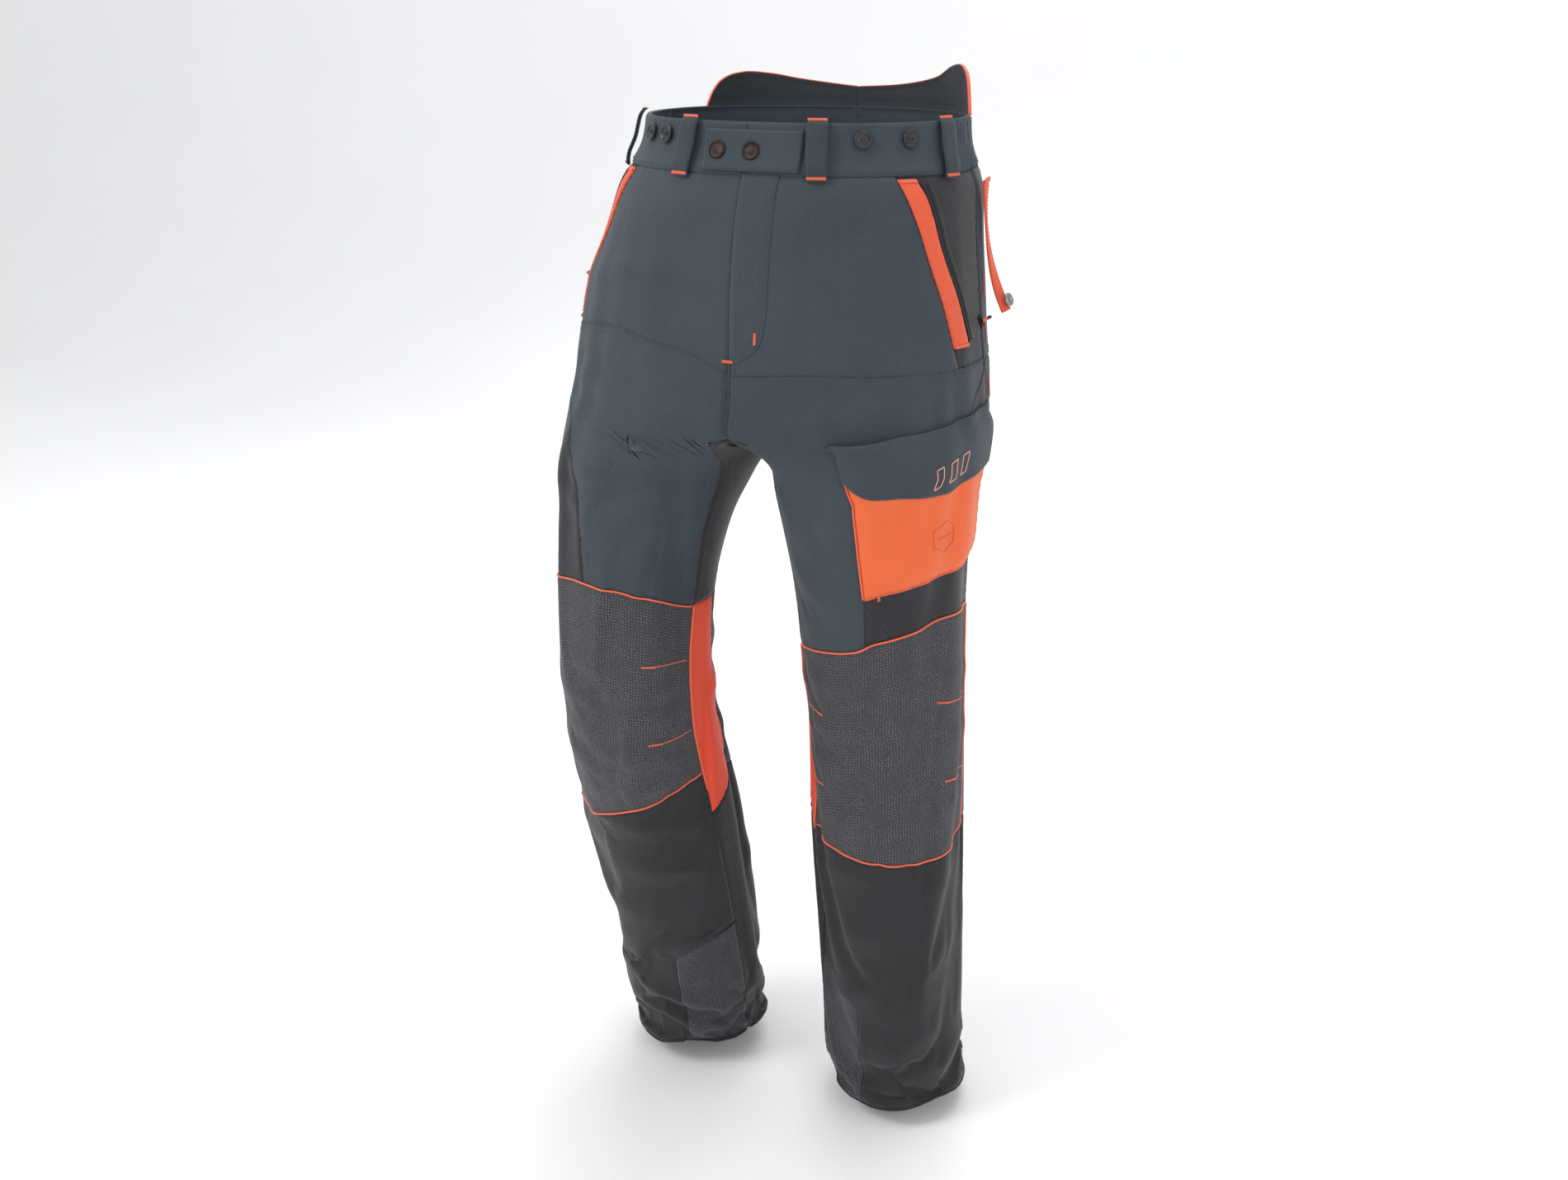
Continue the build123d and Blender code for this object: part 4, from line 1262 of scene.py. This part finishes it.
def front_sheet(name, left, right, top, bottom, lift, thick, finish, step=2.2):
    """Cloth across the middle of the front, from one half to the other."""
    xs = np.linspace(left, right, int((right - left) / step) + 1)
    hs = np.linspace(top, bottom, int((top - bottom) / step) + 1)
    outer = np.zeros((len(hs), len(xs), 3))
    inner = np.zeros_like(outer)
    for i, h in enumerate(hs):
        for side, chosen in ((LEFT, xs >= 0), (RIGHT, xs < 0)):
            angles = np.linspace(-90, -20, 60)
            reach = np.abs(on_cloth(side, angles, np.full(60, h))[:, 0]) / MM
            phi = np.interp(np.abs(xs[chosen]), reach, angles)
            near = np.minimum(np.minimum(xs - left, right - xs), min(top - h, h - bottom))[chosen]
            drop = -0.8 * np.exp(-((near / 1.6) ** 2))
            outer[i, chosen] = on_cloth(side, phi, h, lift + thick + drop)
            inner[i, chosen] = on_cloth(side, phi, h, lift)
    flat = np.stack(np.meshgrid(xs * MM, hs * MM), -1)
    CUT[name] = ((right - left) * MM, (top - bottom) * MM, (right - left) * (top - bottom) * MM * MM)
    return shell(name, outer, inner, flat, finish)


tab = front_sheet("tab_cloth", -42, 53, BAND_TOP - 7, BAND_LOW + 2, 1.2, 2.6, slate_twill)
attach(tab, "tab")
sewn(tab, "waist_tab")
row = Heap()
for start_at, finish_at in (
    ((51, 10.5), (-39.5, 10.5)), ((-39.5, 10.5), (-39.5, -20.5)), ((-39.5, -20.5), (51, -20.5))
):
    t = np.linspace(0, 1, 40)[:, None]
    flat = np.array(start_at) * (1 - t) + np.array(finish_at) * t
    spots = np.array([across_front(x, h, 3.75) for x, h in flat])
    out = np.array([across_front(x, h, 4.75) for x, h in flat]) - spots
    row.stitches(spots, out / np.linalg.norm(out, axis=1, keepdims=True))
row.finish("tab_thread", slate_thread, "tab")


# ---- buttons, snaps, zips and pulls ----------------------------------------------------
def middle_of(name):
    return np.array(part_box(name)).mean(0)


def lathe(name, profile, centre, axis, finish, around=40, body="trousers", smooth=True):
    """A turned piece: profile as (radius, height) pairs in millimetres."""
    axis = np.asarray(axis, float) / np.linalg.norm(axis)
    first = np.cross(axis, [0, 0, 1.0])
    first /= np.linalg.norm(first)
    second = np.cross(axis, first)
    turn = np.linspace(0, 2 * np.pi, around, endpoint=False)
    points, faces = [], []
    for radius, height in profile:
        for a in turn:
            points.append(
                centre + (first * np.cos(a) * radius + second * np.sin(a) * radius + axis * height) * MM
            )
    for k in range(len(profile) - 1):
        for i in range(around):
            j = (i + 1) % around
            faces.append((k * around + i, (k + 1) * around + i, (k + 1) * around + j, k * around + j))
    faces.append(tuple(range(around)))
    faces.append(tuple((len(profile) - 1) * around + i for i in reversed(range(around))))
    piece = make(name, points, faces, finish, smooth)
    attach(piece, body)
    return piece


def facing(point):
    """Outward direction of the band near a point of it."""
    side = LEFT if point[0] >= 0 else RIGHT
    h = float(point[2] / MM)
    phi = heading_of(side, point[0] / MM, h)
    out = on_cloth(side, phi, h, 1.0) - on_cloth(side, phi, h, 0.0)
    return out / np.linalg.norm(out), on_cloth(side, phi, h, 0.0)


CAP = [
    (0.01, 0.0), (8.0, 0.0), (8.5, 0.5), (8.5, 1.1), (8.0, 1.7), (7.2, 1.9), (6.7, 1.6), (6.2, 1.45),
    (3.8, 1.6), (0.01, 1.75)
]
BUTTON = [
    (0.01, 0.0), (7.0, 0.0), (8.3, 0.9), (8.5, 1.9), (8.1, 2.8), (7.3, 3.1), (6.4, 2.9), (5.6, 2.2),
    (5.0, 2.0), (3.0, 2.05), (0.01, 2.1)
]
STUD = [(0.01, 0.0), (6.3, 0.0), (6.5, 0.6), (6.0, 1.2), (3.2, 1.2), (3.0, 0.7), (0.01, 0.6)]
for number in (1, 2):
    out, face = facing(middle_of(f"snap_cap_{number}"))
    cap = lathe(f"snap_cap_dome_{number}", CAP, face + out * 3.7 * MM, out, gunmetal, body="tab")
    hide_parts(f"snap_cap_{number}")
    ring = lathe(
        f"snap_ring_{number}", [(8.1, 0.0), (9.1, 0.0), (9.1, 0.35), (8.1, 0.35)], face + out * 3.65 * MM,
        out, black_resin, body="tab"
    )
    stud = lathe(f"snap_back_{number}", STUD, face - out * 3.6 * MM, -out, steel)
    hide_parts(f"snap_stud_{number}")
for number in (1, 2, 3, 4):
    centre = middle_of(f"brace_button_{number}")
    out, face = facing(centre)
    foot = face + out * 2.2 * MM
    button = lathe(f"button_{number}", BUTTON, foot, out, black_resin)
    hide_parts(f"brace_button_{number}")
    side_way = np.cross(out, [0, 0, 1.0])
    up = np.cross(side_way, out)
    sewing = Heap()
    for sx in (-1, 1):
        legs = [
            foot + (side_way * sx * 1.6 + up * h + out * lift) * MM for h,
            lift in ((-1.9, 1.9), (-1.5, 2.7), (0, 2.9), (1.5, 2.7), (1.9, 1.9))
        ]
        sewing.tube(np.array(legs), np.array([out] * 5), 0.8, 0.7, around=6, ends=0.8)
    sewing.finish(f"button_thread_{number}", black_thread, "trousers")
    holes = Heap()
    for sx in (-1, 1):
        for sh in (-1, 1):
            spot = foot + (side_way * sx * 1.6 + up * sh * 1.9) * MM
            holes.tube(
                np.array([spot + out * 1.7 * MM, spot + out * 2.12 * MM]), np.array([side_way] * 2), 1.9,
                1.9, around=10, ends=1.0
            )
    holes.finish(f"button_eyes_{number}", black_thread, "trousers")


def block(heap, centre, x_way, y_way, sizes, chamfer):
    """A small moulded body with softened corners."""
    z_way = np.cross(x_way, y_way)
    a, b, c = np.array(sizes) / 2
    points, faces = [], []
    layers = [(-c, chamfer), (-c + chamfer, 0), (c - chamfer, 0), (c, chamfer)]
    for z, inset in layers:
        p, q, r = a - inset, b - inset, chamfer * 1.2
        for x, y in (
            (p, q - r), (p - r, q), (-p + r, q), (-p, q - r), (-p, -q + r), (-p + r, -q), (p - r, -q),
            (p, -q + r)
        ):
            points.append(centre + (x_way * x + y_way * y + z_way * z) * MM)
    for k in range(3):
        for i in range(8):
            j = (i + 1) % 8
            faces.append((k * 8 + i, k * 8 + j, (k + 1) * 8 + j, (k + 1) * 8 + i))
    faces += [tuple(reversed(range(8))), tuple(24 + i for i in range(8))]
    heap.add(np.array(points), faces)


ZIP_WAY = {LEFT: (-24.44, -51.16, 116.0), RIGHT: (43.01, -28.56, 96.0)}
for side in (LEFT, RIGHT):
    word = "_" + NAMES[side]
    centre = middle_of("pocket_slider" + word)
    way = np.array(ZIP_WAY[side]) / np.linalg.norm(ZIP_WAY[side])
    out = on_cloth(
        side, -1 if side == LEFT else -9, centre[2] / MM, 1.0
    ) - on_cloth(side, -1 if side == LEFT else -9, centre[2] / MM, 0.0)
    out /= np.linalg.norm(out)
    cross = np.cross(way, out)
    out = np.cross(cross, way)
    slider = Heap()
    block(slider, centre - out * 0.2 * MM, cross, way, (7.4, 12.5, 2.0), 0.5)
    block(slider, centre + out * 1.1 * MM, cross, way, (2.4, 8.0, 1.4), 0.4)
    body = slider.finish("zip_slider" + word, gunmetal, "slider_" + NAMES[side], smooth=False)
    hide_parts("pocket_slider" + word)
    low, high = (np.array(v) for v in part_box("pocket_pull" + word))
    reach = low[0] if side == RIGHT else high[0]
    root = centre + out * 2.4 * MM
    end = np.array([reach - side * 0.0015, (low[1] + high[1]) / 2, (low[2] + high[2]) / 2 + 0.001])
    t = np.linspace(0, 1, 14)[:, None]
    spine = root * (1 - t) + end * t
    length = np.linalg.norm(end - root)
    lead = (end - root) / length
    swing = np.cross(lead, [0, 1.0, 0])
    swing /= np.linalg.norm(swing)
    other = np.cross(lead, swing)
    cord_part = spine[:9]
    twist = np.linspace(0, 2.6 * np.pi, 9)[:, None]
    cords = Heap()
    for phase in (0, np.pi):
        strand = cord_part + (swing * np.cos(twist + phase) + other * np.sin(twist + phase)) * 0.9 * MM
        cords.tube(strand, np.repeat(swing[None], 9, 0), 1.5, 1.5, around=8, ends=0.9)
    pull = cords.finish("pull_cord" + word, orange_cord, "pull_" + NAMES[side])
    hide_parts("pocket_pull" + word)
    tip = Heap()
    grip = spine[7:]
    widths = np.interp(np.linspace(0, 1, len(grip)), [0, 0.15, 0.6, 0.9, 1], [2.6, 4.2, 4.8, 4.4, 2.4])
    ring = []
    turn = np.linspace(0, 2 * np.pi, 12, endpoint=False)
    for spot, wide in zip(grip, widths):
        ring.append(
            spot + (
                swing * np.cos(turn)[:, None] * wide / 2 * 0.75 + other * np.sin(turn)[:, None] * wide / 2
            ) * MM
        )
    n = len(grip)
    faces = [
        (
            k * 12 + i, k * 12 + (i + 1) % 12, (k + 1) * 12 + (i + 1) % 12, (k + 1) * 12 + i
        ) for k in range(n - 1) for i in range(12)
    ]
    tip.add(
        np.concatenate(ring),
        faces + [tuple(reversed(range(12))), tuple((n - 1) * 12 + i for i in range(12))]
    )
    tip.finish("pull_tip" + word, black_resin, "pull_" + NAMES[side])


# ---- pocket mouths, fly, thigh pocket and tool strap --------------------------------------
MOUTH_REAR = line((-20, -34), (-29, -33), (-44, -29.5), (-88, -22.5), (-141, -12.5), (-182, -6.5))
ZIP_LINE = line((-26, -30), (-44, -26.8), (-88, -19.8), (-141, -9.8), (-176, -4))
for side in (LEFT, RIGHT):
    word = "_" + NAMES[side]
    edging = panel(
        "mouth_edging" + word, side, MOUTH[side], MOUTH_REAR, BAND_LOW - 3, -179, orange_tape, lift=1.3,
        thick=1.5, step=1.8, body="trousers", edge=0.5, pucker=0.12
    )
    sewn(edging, "pocket_trim" + word)
    rows = Heap()
    for shift in (0.9, 3.4):
        path = seam_path(lambda t: MOUTH[side](t) + shift, -30, -176, 60, upright=True)
        rows.stitches(*walk(side, path, 1.2, 1.35))
    rows.finish("mouth_thread" + word, orange_thread, "trousers")
    locks = Heap()
    for h in (-30.5, -178.0):
        a, b = float(MOUTH[side](h)), float(MOUTH_REAR(h))
        locks.bartack(*walk(side, [(a + 0.4, h), (b - 0.2, h)], 1.0, 1.4), wide=3.4)
    locks.finish("mouth_bartacks" + word, orange_thread, "trousers")
    zip_tape = Heap()
    zip_tape.tape(*walk(side, seam_path(ZIP_LINE, -30, -176, 50, upright=True), 2.0, -0.3), 10.0, 0.9)
    zip_tape.finish("zip_tape" + word, black_stretch, "trousers")
    teeth = Heap()
    spots, out = walk(side, seam_path(ZIP_LINE, -31, -175, 60, upright=True), 1.5, 0.9)
    way = along(spots)
    cross = np.cross(way, out)
    for k in range(len(spots)):
        block(
            teeth, spots[k] + cross[k] * (0.7 if k % 2 else -0.7) * MM, cross[k], way[k], (2.9, 1.0, 1.1),
            0.2
        )
    teeth.finish("zip_teeth" + word, black_resin, "trousers")

FLY_EDGE = across(
    LEFT, (20, 31), (-136, 31), (-158, 29.5), (-172, 25), (-181, 18), (-187, 9), (-190, 3), (-240, 2)
)
placket = panel(
    "fly_cloth", LEFT, -90,
    across(LEFT, (30, 36), (-140, 36), (-165, 33), (-178, 26), (-188, 13), (-191, 6), (-240, 4)), BAND_LOW,
    -191, slate_twill, lift=1.3, thick=1.2, step=2.4, body="trousers", edge=0.9, pucker=0.1
)
sewn(placket, "fly_placket")
rows = Heap()
for shift in (0.0, -2.6):
    path = seam_path(lambda t: FLY_EDGE(t) + shift * 0.4, -27, -188, 80, upright=True)
    rows.stitches(*walk(LEFT, path, 1.2, 1.45))
rows.finish("fly_thread", slate_thread, "trousers")
locks = Heap()
locks.bartack(*walk(LEFT, [(-84.5, -161), (-84.8, -172)], 1.0, 1.6), wide=3.0)
spots = np.array([across_front(x, -189.5, 1.4) for x in np.linspace(-7, 4, 14)])
out = np.array([across_front(x, -189.5, 2.4) for x in np.linspace(-7, 4, 14)]) - spots
locks.bartack(spots, out / np.linalg.norm(out, axis=1, keepdims=True), wide=3.0)
locks.finish("fly_bartacks", orange_thread, "trousers")

BAG_LEFT = line((-240, -64.5), (-258, -65), (-266, -67.5), (-276, -76), (-284, -80.5), (-290, -84),
                (-298, -81.5),
                (-320, -77.5), (-412, -77))
BAG_LOW = line((-82, -412), (-77, -412), (-42, -400), (17, -390))
BAG_RIGHT = line((-250, 9), (-290, 11), (-320, 13), (-400, 16))
FLAP_LOW = line((-84, -292), (-79, -298), (-70, -303), (-40, -305), (-26, -306), (0, -298), (12, -294))
FLAP_HIGH = line((-70, -259), (-64, -258), (-30, -248), (6, -240), (14, -238))


def swell(left, right, top, bottom, height, soft=9.0):
    """Lift that rises from sewn edges to a full middle."""
    left, right, top, bottom = at(left), at(right), at(top), at(bottom)

    def lift(phi, h):
        scale = 1.6
        near = np.minimum(
            np.minimum(phi - left(h), right(h) - phi) * scale, np.minimum(top(phi) - h, h - bottom(phi))
        )
        return 1.2 + height * (1 - np.exp(-np.clip(near, 0, None) / soft))
    return lift


bag_rise = swell(BAG_LEFT, 30, -250, BAG_LOW, 7.0)
bag = panel(
    "thigh_bag_cloth", LEFT, BAG_LEFT, BAG_RIGHT, -262, BAG_LOW, orange_pocket, lift=bag_rise, thick=1.5,
    step=2.6, body="trousers", edge=0.5, pucker=0.25
)
sewn(bag, "cargo_pocket")


def flap_rise(phi, h):
    return bag_rise(phi, h) + 2.7 + 0.9 * np.sin(phi * 0.14 + 0.5) * np.clip((FLAP_HIGH(phi) - h) / 50, 0, 1)


FLAP_RIGHT = line((-236, 8), (-262, 10), (-300, 11.5))
cover = panel(
    "flap_cloth", LEFT, lambda t: BAG_LEFT(t) - 1.6, FLAP_RIGHT, FLAP_HIGH, FLAP_LOW, slate_twill,
    lift=flap_rise, thick=2.2, step=2.2, body="flap", edge=0.6, pucker=0.1
)
sewn(cover, "cargo_flap")


def raised_line(heap, points, lift, wide, high, gap=1.5):
    spots, out = walk(LEFT, points, gap, 0.0)
    heap_points = on_path(points, len(spots), lift)
    heap.tube(heap_points, out, wide, high, around=8)


def on_path(points, number, lift):
    points = np.asarray(points, float)
    t = np.linspace(0, len(points) - 1, number)
    phi = np.interp(t, np.arange(len(points)), points[:, 0])
    h = np.interp(t, np.arange(len(points)), points[:, 1])
    return on_cloth(LEFT, phi, h, lift(phi, h))


# The flap carries three plain slanted bars, and the bag a plain outlined hexagon.
bars = Heap()
for k in range(3):
    start_phi = -36 + k * 9.5
    low_h, high_h = -299 + k * 3.0, -282 + k * 3.4
    corner_points = [
        (start_phi, low_h), (start_phi + 2.6, high_h), (start_phi + 7.2, high_h + 2.6),
        (start_phi + 4.6, low_h + 2.2), (start_phi, low_h)
    ]
    raised_line(bars, corner_points, lambda a, b: flap_rise(a, b) + 0.2, 1.1, 0.8)
bars.finish("flap_bars", pale_thread, "flap")
mark = Heap()
hexagon = [
    (-25 + 9.5 * np.cos(a), -352 + 17 * np.sin(a)) for a in np.linspace(np.pi / 6, 2 * np.pi + np.pi / 6, 7)
]
raised_line(mark, hexagon, lambda a, b: bag_rise(a, b) + 0.15, 0.9, 0.6)
raised_line(mark, [(-31, -352), (-19, -352)], lambda a, b: bag_rise(a, b) + 0.15, 0.9, 0.6)
mark.finish("bag_mark", thread_finish("dark_orange_thread", "#d9532a", "#b8431f"), "trousers")

rows = Heap()
for shift in (1.8,):
    rows.stitches(
        on_path(
            [(a, float(BAG_LOW(a)) + 2.5) for a in np.linspace(-75, 15, 60)], 120, lambda a,
            b: bag_rise(a, b) + 0.1
        ),
        walk(
            LEFT, [(a, float(BAG_LOW(a)) + 2.5) for a in np.linspace(-75, 15, 60)], 1.3
        )[1][:1].repeat(120, 0)
    )
rows.finish("bag_thread", orange_thread, "trousers")
rows = Heap()
for low in (2.6, 6.0):
    path = [(a, float(FLAP_HIGH(a)) - low - 1) for a in np.linspace(-63, 6, 60)]
    spots, out = walk(LEFT, path, 1.3)
    rows.stitches(on_path(path, len(spots), lambda a, b: flap_rise(a, b) + 0.15), out)
path = [(a, float(FLAP_LOW(a)) + 2.6) for a in np.linspace(-80, 10, 60)]
spots, out = walk(LEFT, path, 1.3)
rows.stitches(on_path(path, len(spots), lambda a, b: flap_rise(a, b) + 0.15), out)
rows.finish("flap_thread", slate_thread, "flap")
trim = Heap()
path = [(float(BAG_LEFT(h)) - 0.5, h) for h in np.linspace(-264, -412, 60)]
spots, out = walk(LEFT, path, 2.0, 1.2)
trim.tube(spots, out, 1.9, 2.2)
path = [(a, float(BAG_LOW(a)) - 0.4) for a in np.linspace(-77, 16, 60)]
spots, out = walk(LEFT, path, 2.0, 0.9)
trim.tube(spots, out, 1.5, 1.5)
trim.finish("bag_edging", orange_cord, "trousers")
locks = Heap()
locks.bartack(*walk(LEFT, [(-66, -401), (-66, -414)], 1.0, 2.4), wide=3.0)
locks.finish("bag_bartack", orange_thread, "trousers")

low, high = (np.array(v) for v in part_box("tool_strap"))
top = np.array([low[0] + 0.002, (low[1] + high[1]) / 2, high[2] - 0.001])
foot = np.array([high[0] - 0.004, (low[1] + high[1]) / 2, low[2] + 0.002])
t = np.linspace(0, 1, 50)
spine = np.stack([
    top[0] + (foot[0] - top[0]) * (0.55 * t ** 1.4 + 0.45 * t ** 3) - 0.004 * np.sin(np.pi * t) * 0.6,
    np.full(50, top[1]) + 0.0015 * np.sin(t * 5.0),
    top[2] + (foot[2] - top[2]) * t,
], 1)
way = along(spine)
out = np.cross(np.array([0, 1.0, 0]), way)
out /= np.linalg.norm(out, axis=1, keepdims=True)
if out[0, 0] < 0:
    out = -out
strip = Heap()
twist = 0.25 * np.sin(t * np.pi * 1.5)[:, None]
leaning = out + np.array([0, 1.0, 0]) * twist
leaning /= np.linalg.norm(leaning, axis=1, keepdims=True)
strip.tape(spine, leaning, 15.0, 1.8)
strap = strip.finish("strap_webbing", orange_tape, "strap")
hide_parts("tool_strap")
rows = Heap()
side_way = np.cross(way, leaning)
for reach in (-6.2, 6.2):
    rows.stitches(spine[2:-2] + (side_way * reach + leaning * 1.85)[2:-2] * MM, leaning[2:-2])
rows.finish("strap_thread", orange_thread, "strap")
lock = Heap()
lock.bartack(
    spine[:1] + side_way[:1] * np.linspace(-7, 7, 14)[:, None] * MM + leaning[:1] * 2.0 * MM,
    leaning[:1].repeat(14, 0), wide=5.0
)
lock.finish("strap_bartack", orange_thread, "strap")
snap = lathe(
    "strap_snap_ring",
    [(2.4, 0.0), (6.2, 0.0), (6.6, 0.7), (6.2, 1.6), (5.2, 2.2), (4.0, 2.2), (3.0, 1.6), (2.4, 0.8)],
    middle_of("strap_snap") - leaning[43] * 0.9 * MM, leaning[43], steel, body="strap"
)
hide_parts("strap_snap")


# ---- seams, topstitching, piping, darts and hems ----------------------------------------
def leg_seam(
    name, side, function, top, bottom, thread, body=None, shifts=(1.6,), upright=True, lift=0.1, gap=1.2
):
    rows = Heap()
    for shift in shifts:
        if upright:
            path = seam_path(lambda t: function(t) + shift, top, bottom, 90, upright=True)
        else:
            path = seam_path(lambda t: function(t) + shift, top, bottom, 90)
        rows.stitches(*walk(side, path, gap, lift))
    return rows.finish(name, thread, body)


for side in (LEFT, RIGHT):
    word = "_" + NAMES[side]
    shin = SHIN[side]
    yoke_end = 14 if side == LEFT else 8
    leg_seam(
        "yoke_thread" + word, side, YOKE[side], -89.5, yoke_end, slate_thread, "trousers", (-2.2, -7.5),
        upright=False
    )
    leg_seam("outer_thread" + word, side, OUT[side], -28, -430, black_thread, "trousers", (1.4, -1.4))
    leg_seam("stripe_thread" + word, side, STRIPE[side], -214, -415, slate_thread, "trousers", (-1.6,))
    leg_seam("middle_thread" + word, side, INN[side], -192, -258, slate_thread, "trousers", (0.8,))
    leg_seam(
        "inseam_thread" + word, side, INN[side], -296, -430 if side == RIGHT else -470, black_thread,
        "trousers", (1.4,)
    )
    leg_seam("seat_thread" + word, side, at(90.0), -28, -258, slate_thread, "trousers", (-0.9, -3.2))
    leg_seam(
        "seat_low_thread" + word, side, SEAT_LOW[side], 14, 89, slate_thread, "trousers", (2.2, 7.0),
        upright=False
    )
    leg_seam(
        "shin_inseam_thread" + word, side, INN[side], -716 if side == LEFT else -660, -1004, black_thread,
        shin, (1.5,)
    )
    leg_seam("shin_outer_thread" + word, side, OUT[side], -716, -1016, black_thread, shin, (1.5, -1.5))
    ends = (-143, 214) if side == LEFT else (-164, 193)
    leg_seam("hem_thread" + word, side, HEMS[side], *ends, black_thread, shin, (10.5, 14.0), upright=False)
    leg_seam("ankle_thread" + word, side, ANKLE[side], -862, -1014, slate_thread, shin, (1.4,))
    fold = Heap()
    fold.tube(*walk(side, seam_path(HEMS[side], *ends, 90), 3.0, -0.4), 3.0, 2.6)
    fold.finish("hem_fold" + word, shin_stretch, shin)
    piping = Heap()
    first = -143 if side == LEFT else -164.5
    last = 17 if side == LEFT else -4
    inner_top, outer_top = float(KNEE_TOP[side](first)), float(KNEE_TOP[side](last))
    inner_low, outer_low = float(KNEE_LOW[side](first)), float(KNEE_LOW[side](last))
    for path in (
        seam_path(KNEE_TOP[side], first, last, 80),
        seam_path(KNEE_LOW[side], first, last, 80),
        seam_path(INN[side], inner_top, inner_low - (24 if side == RIGHT else 6), 60, upright=True),
        seam_path(OUT[side], outer_top, outer_low, 60, upright=True),
    ):
        piping.tube(*walk(side, path, 2.2, 0.5), 2.0, 2.2)
    bend(piping.finish("knee_piping" + word, orange_cord, None))
    darts = {
        LEFT: [
            ((17, -542), (-28, -532)), ((17, -626), (-22, -622)), ((-142, -548), (-118, -552)),
            ((-143, -628), (-120, -632))
        ],
        RIGHT: [((-163, -498), (-125, -494)), ((-164, -580), (-125, -584))],
    }[side]
    sewing = Heap()
    for root, tip in darts:
        root, tip = np.array(root, float), np.array(tip, float)
        sewing.tube(*walk(side, [root, tip], 2.0, 0.35), 1.1, 1.1)
        sewing.bartack(*walk(side, [root + (tip - root) * 0.74, tip], 1.0, 0.7), wide=2.4)
    bend(sewing.finish("knee_darts" + word, orange_thread, None))
    locks = Heap()
    for top_h, low_h in ((-118, -141), (-166, -187), (-216, -239)):
        shift = 4.5 if side == LEFT else 3.0
        locks.bartack(
            *walk(
                side, [(float(OUT[side](top_h)) + shift, top_h), (float(OUT[side](low_h)) + shift, low_h)],
                1.0, 0.6
            ),
            wide=3.0
        )
    locks.finish("side_bartacks" + word, orange_thread, "trousers")
middle = Heap()
middle.tube(*walk(LEFT, [(-90, -188), (-90, -230), (-90, -261)], 2.5, -1.0), 3.4, 2.6)
middle.tube(*walk(LEFT, [(90, -26), (90, -140), (90, -261)], 2.5, -1.0), 3.4, 2.6)
middle.tube(*walk(LEFT, [(-90, -26), (-90, -110), (-90, -190)], 2.5, -1.0), 3.0, 2.0)
middle.finish("middle_seam", slate_twill, "trousers")
rows = Heap()
for h in (17.0, -22.0):
    for side in (LEFT, RIGHT):
        rows.stitches(*walk(side, [(a, h) for a in np.linspace(-89.5, 89.5, 90)], 1.3, 1.15))
rows.finish("band_thread", slate_thread, "trousers")
corner_rows = Heap()
for path in ([(-78, -418), (-63, -454)], [(-76, -414), (-60, -450)]):
    corner_rows.stitches(*walk(LEFT, path, 1.3, 0.3))
corner_rows.finish("stripe_corner_thread", slate_thread, "trousers")


# ---- floor, light and finish -------------------------------------------------------------
def studio():
    """A pale sweep, a large soft key from the left, a fill, and a light from above."""
    tone = bpy.data.materials.new("pale_floor")
    tone.use_nodes = True
    tree = tone.node_tree
    shader = tree.nodes["Principled BSDF"]
    shader.inputs["Roughness"].default_value = 0.9
    place = node(tree, "ShaderNodeTexCoord").outputs["Object"]
    grain = node(tree, "ShaderNodeTexNoise", {"Vector": place}, {"Scale": 3.0, "Detail": 2.0}).outputs["Fac"]
    paint = {6: linear("#f4f4f4"), 7: linear("#f8f8f8")}
    mixed = node(tree, "ShaderNodeMix", {"Factor": grain}, paint, data_type="RGBA")
    tree.links.new(mixed.outputs[2], shader.inputs["Base Color"])
    floor_at = -1.052
    deep = np.concatenate([[-5.0, -1.0, 2.2], 2.2 + 1.2 * np.sin(np.linspace(0.2, 1.57, 8)), [3.4]])
    high = np.concatenate([[0, 0, 0], 1.2 - 1.2 * np.cos(np.linspace(0.2, 1.57, 8)), [6.0]]) + floor_at
    points, faces = [], []
    for x in np.linspace(-7, 7, 9):
        points += [(x, y, z) for y, z in zip(deep, high)]
    n = len(deep)
    for i in range(8):
        for j in range(n - 1):
            faces.append((i * n + j, (i + 1) * n + j, (i + 1) * n + j + 1, i * n + j + 1))
    make("floor", points, faces, tone)
    for name, spot, size, power_w in (
        ("key", (-1.9, -2.2, 2.2), 1.3, 50.0),
        ("fill", (2.6, -1.6, 0.9), 1.6, 14.0),
        ("top", (0.4, 0.6, 3.0), 1.8, 30.0),
        ("back", (-0.8, 2.4, 1.2), 1.8, 26.0),
    ):
        data = bpy.data.lights.new(name, "AREA")
        data.energy = power_w
        data.size = size
        lamp = bpy.data.objects.new(name, data)
        bpy.context.collection.objects.link(lamp)
        lamp.location = spot
        lamp.rotation_euler = (Vector((0, -0.05, -0.5)) - Vector(spot)).to_track_quat("-Z", "Y").to_euler()
    world = bpy.data.worlds.new("room")
    bpy.context.scene.world = world
    world.use_nodes = True
    sky = world.node_tree.nodes["Background"]
    sky.inputs["Color"].default_value = linear("#f6f7f9")
    sky.inputs["Strength"].default_value = 0.8


studio()
bpy.context.scene.view_settings.view_transform = "Standard"
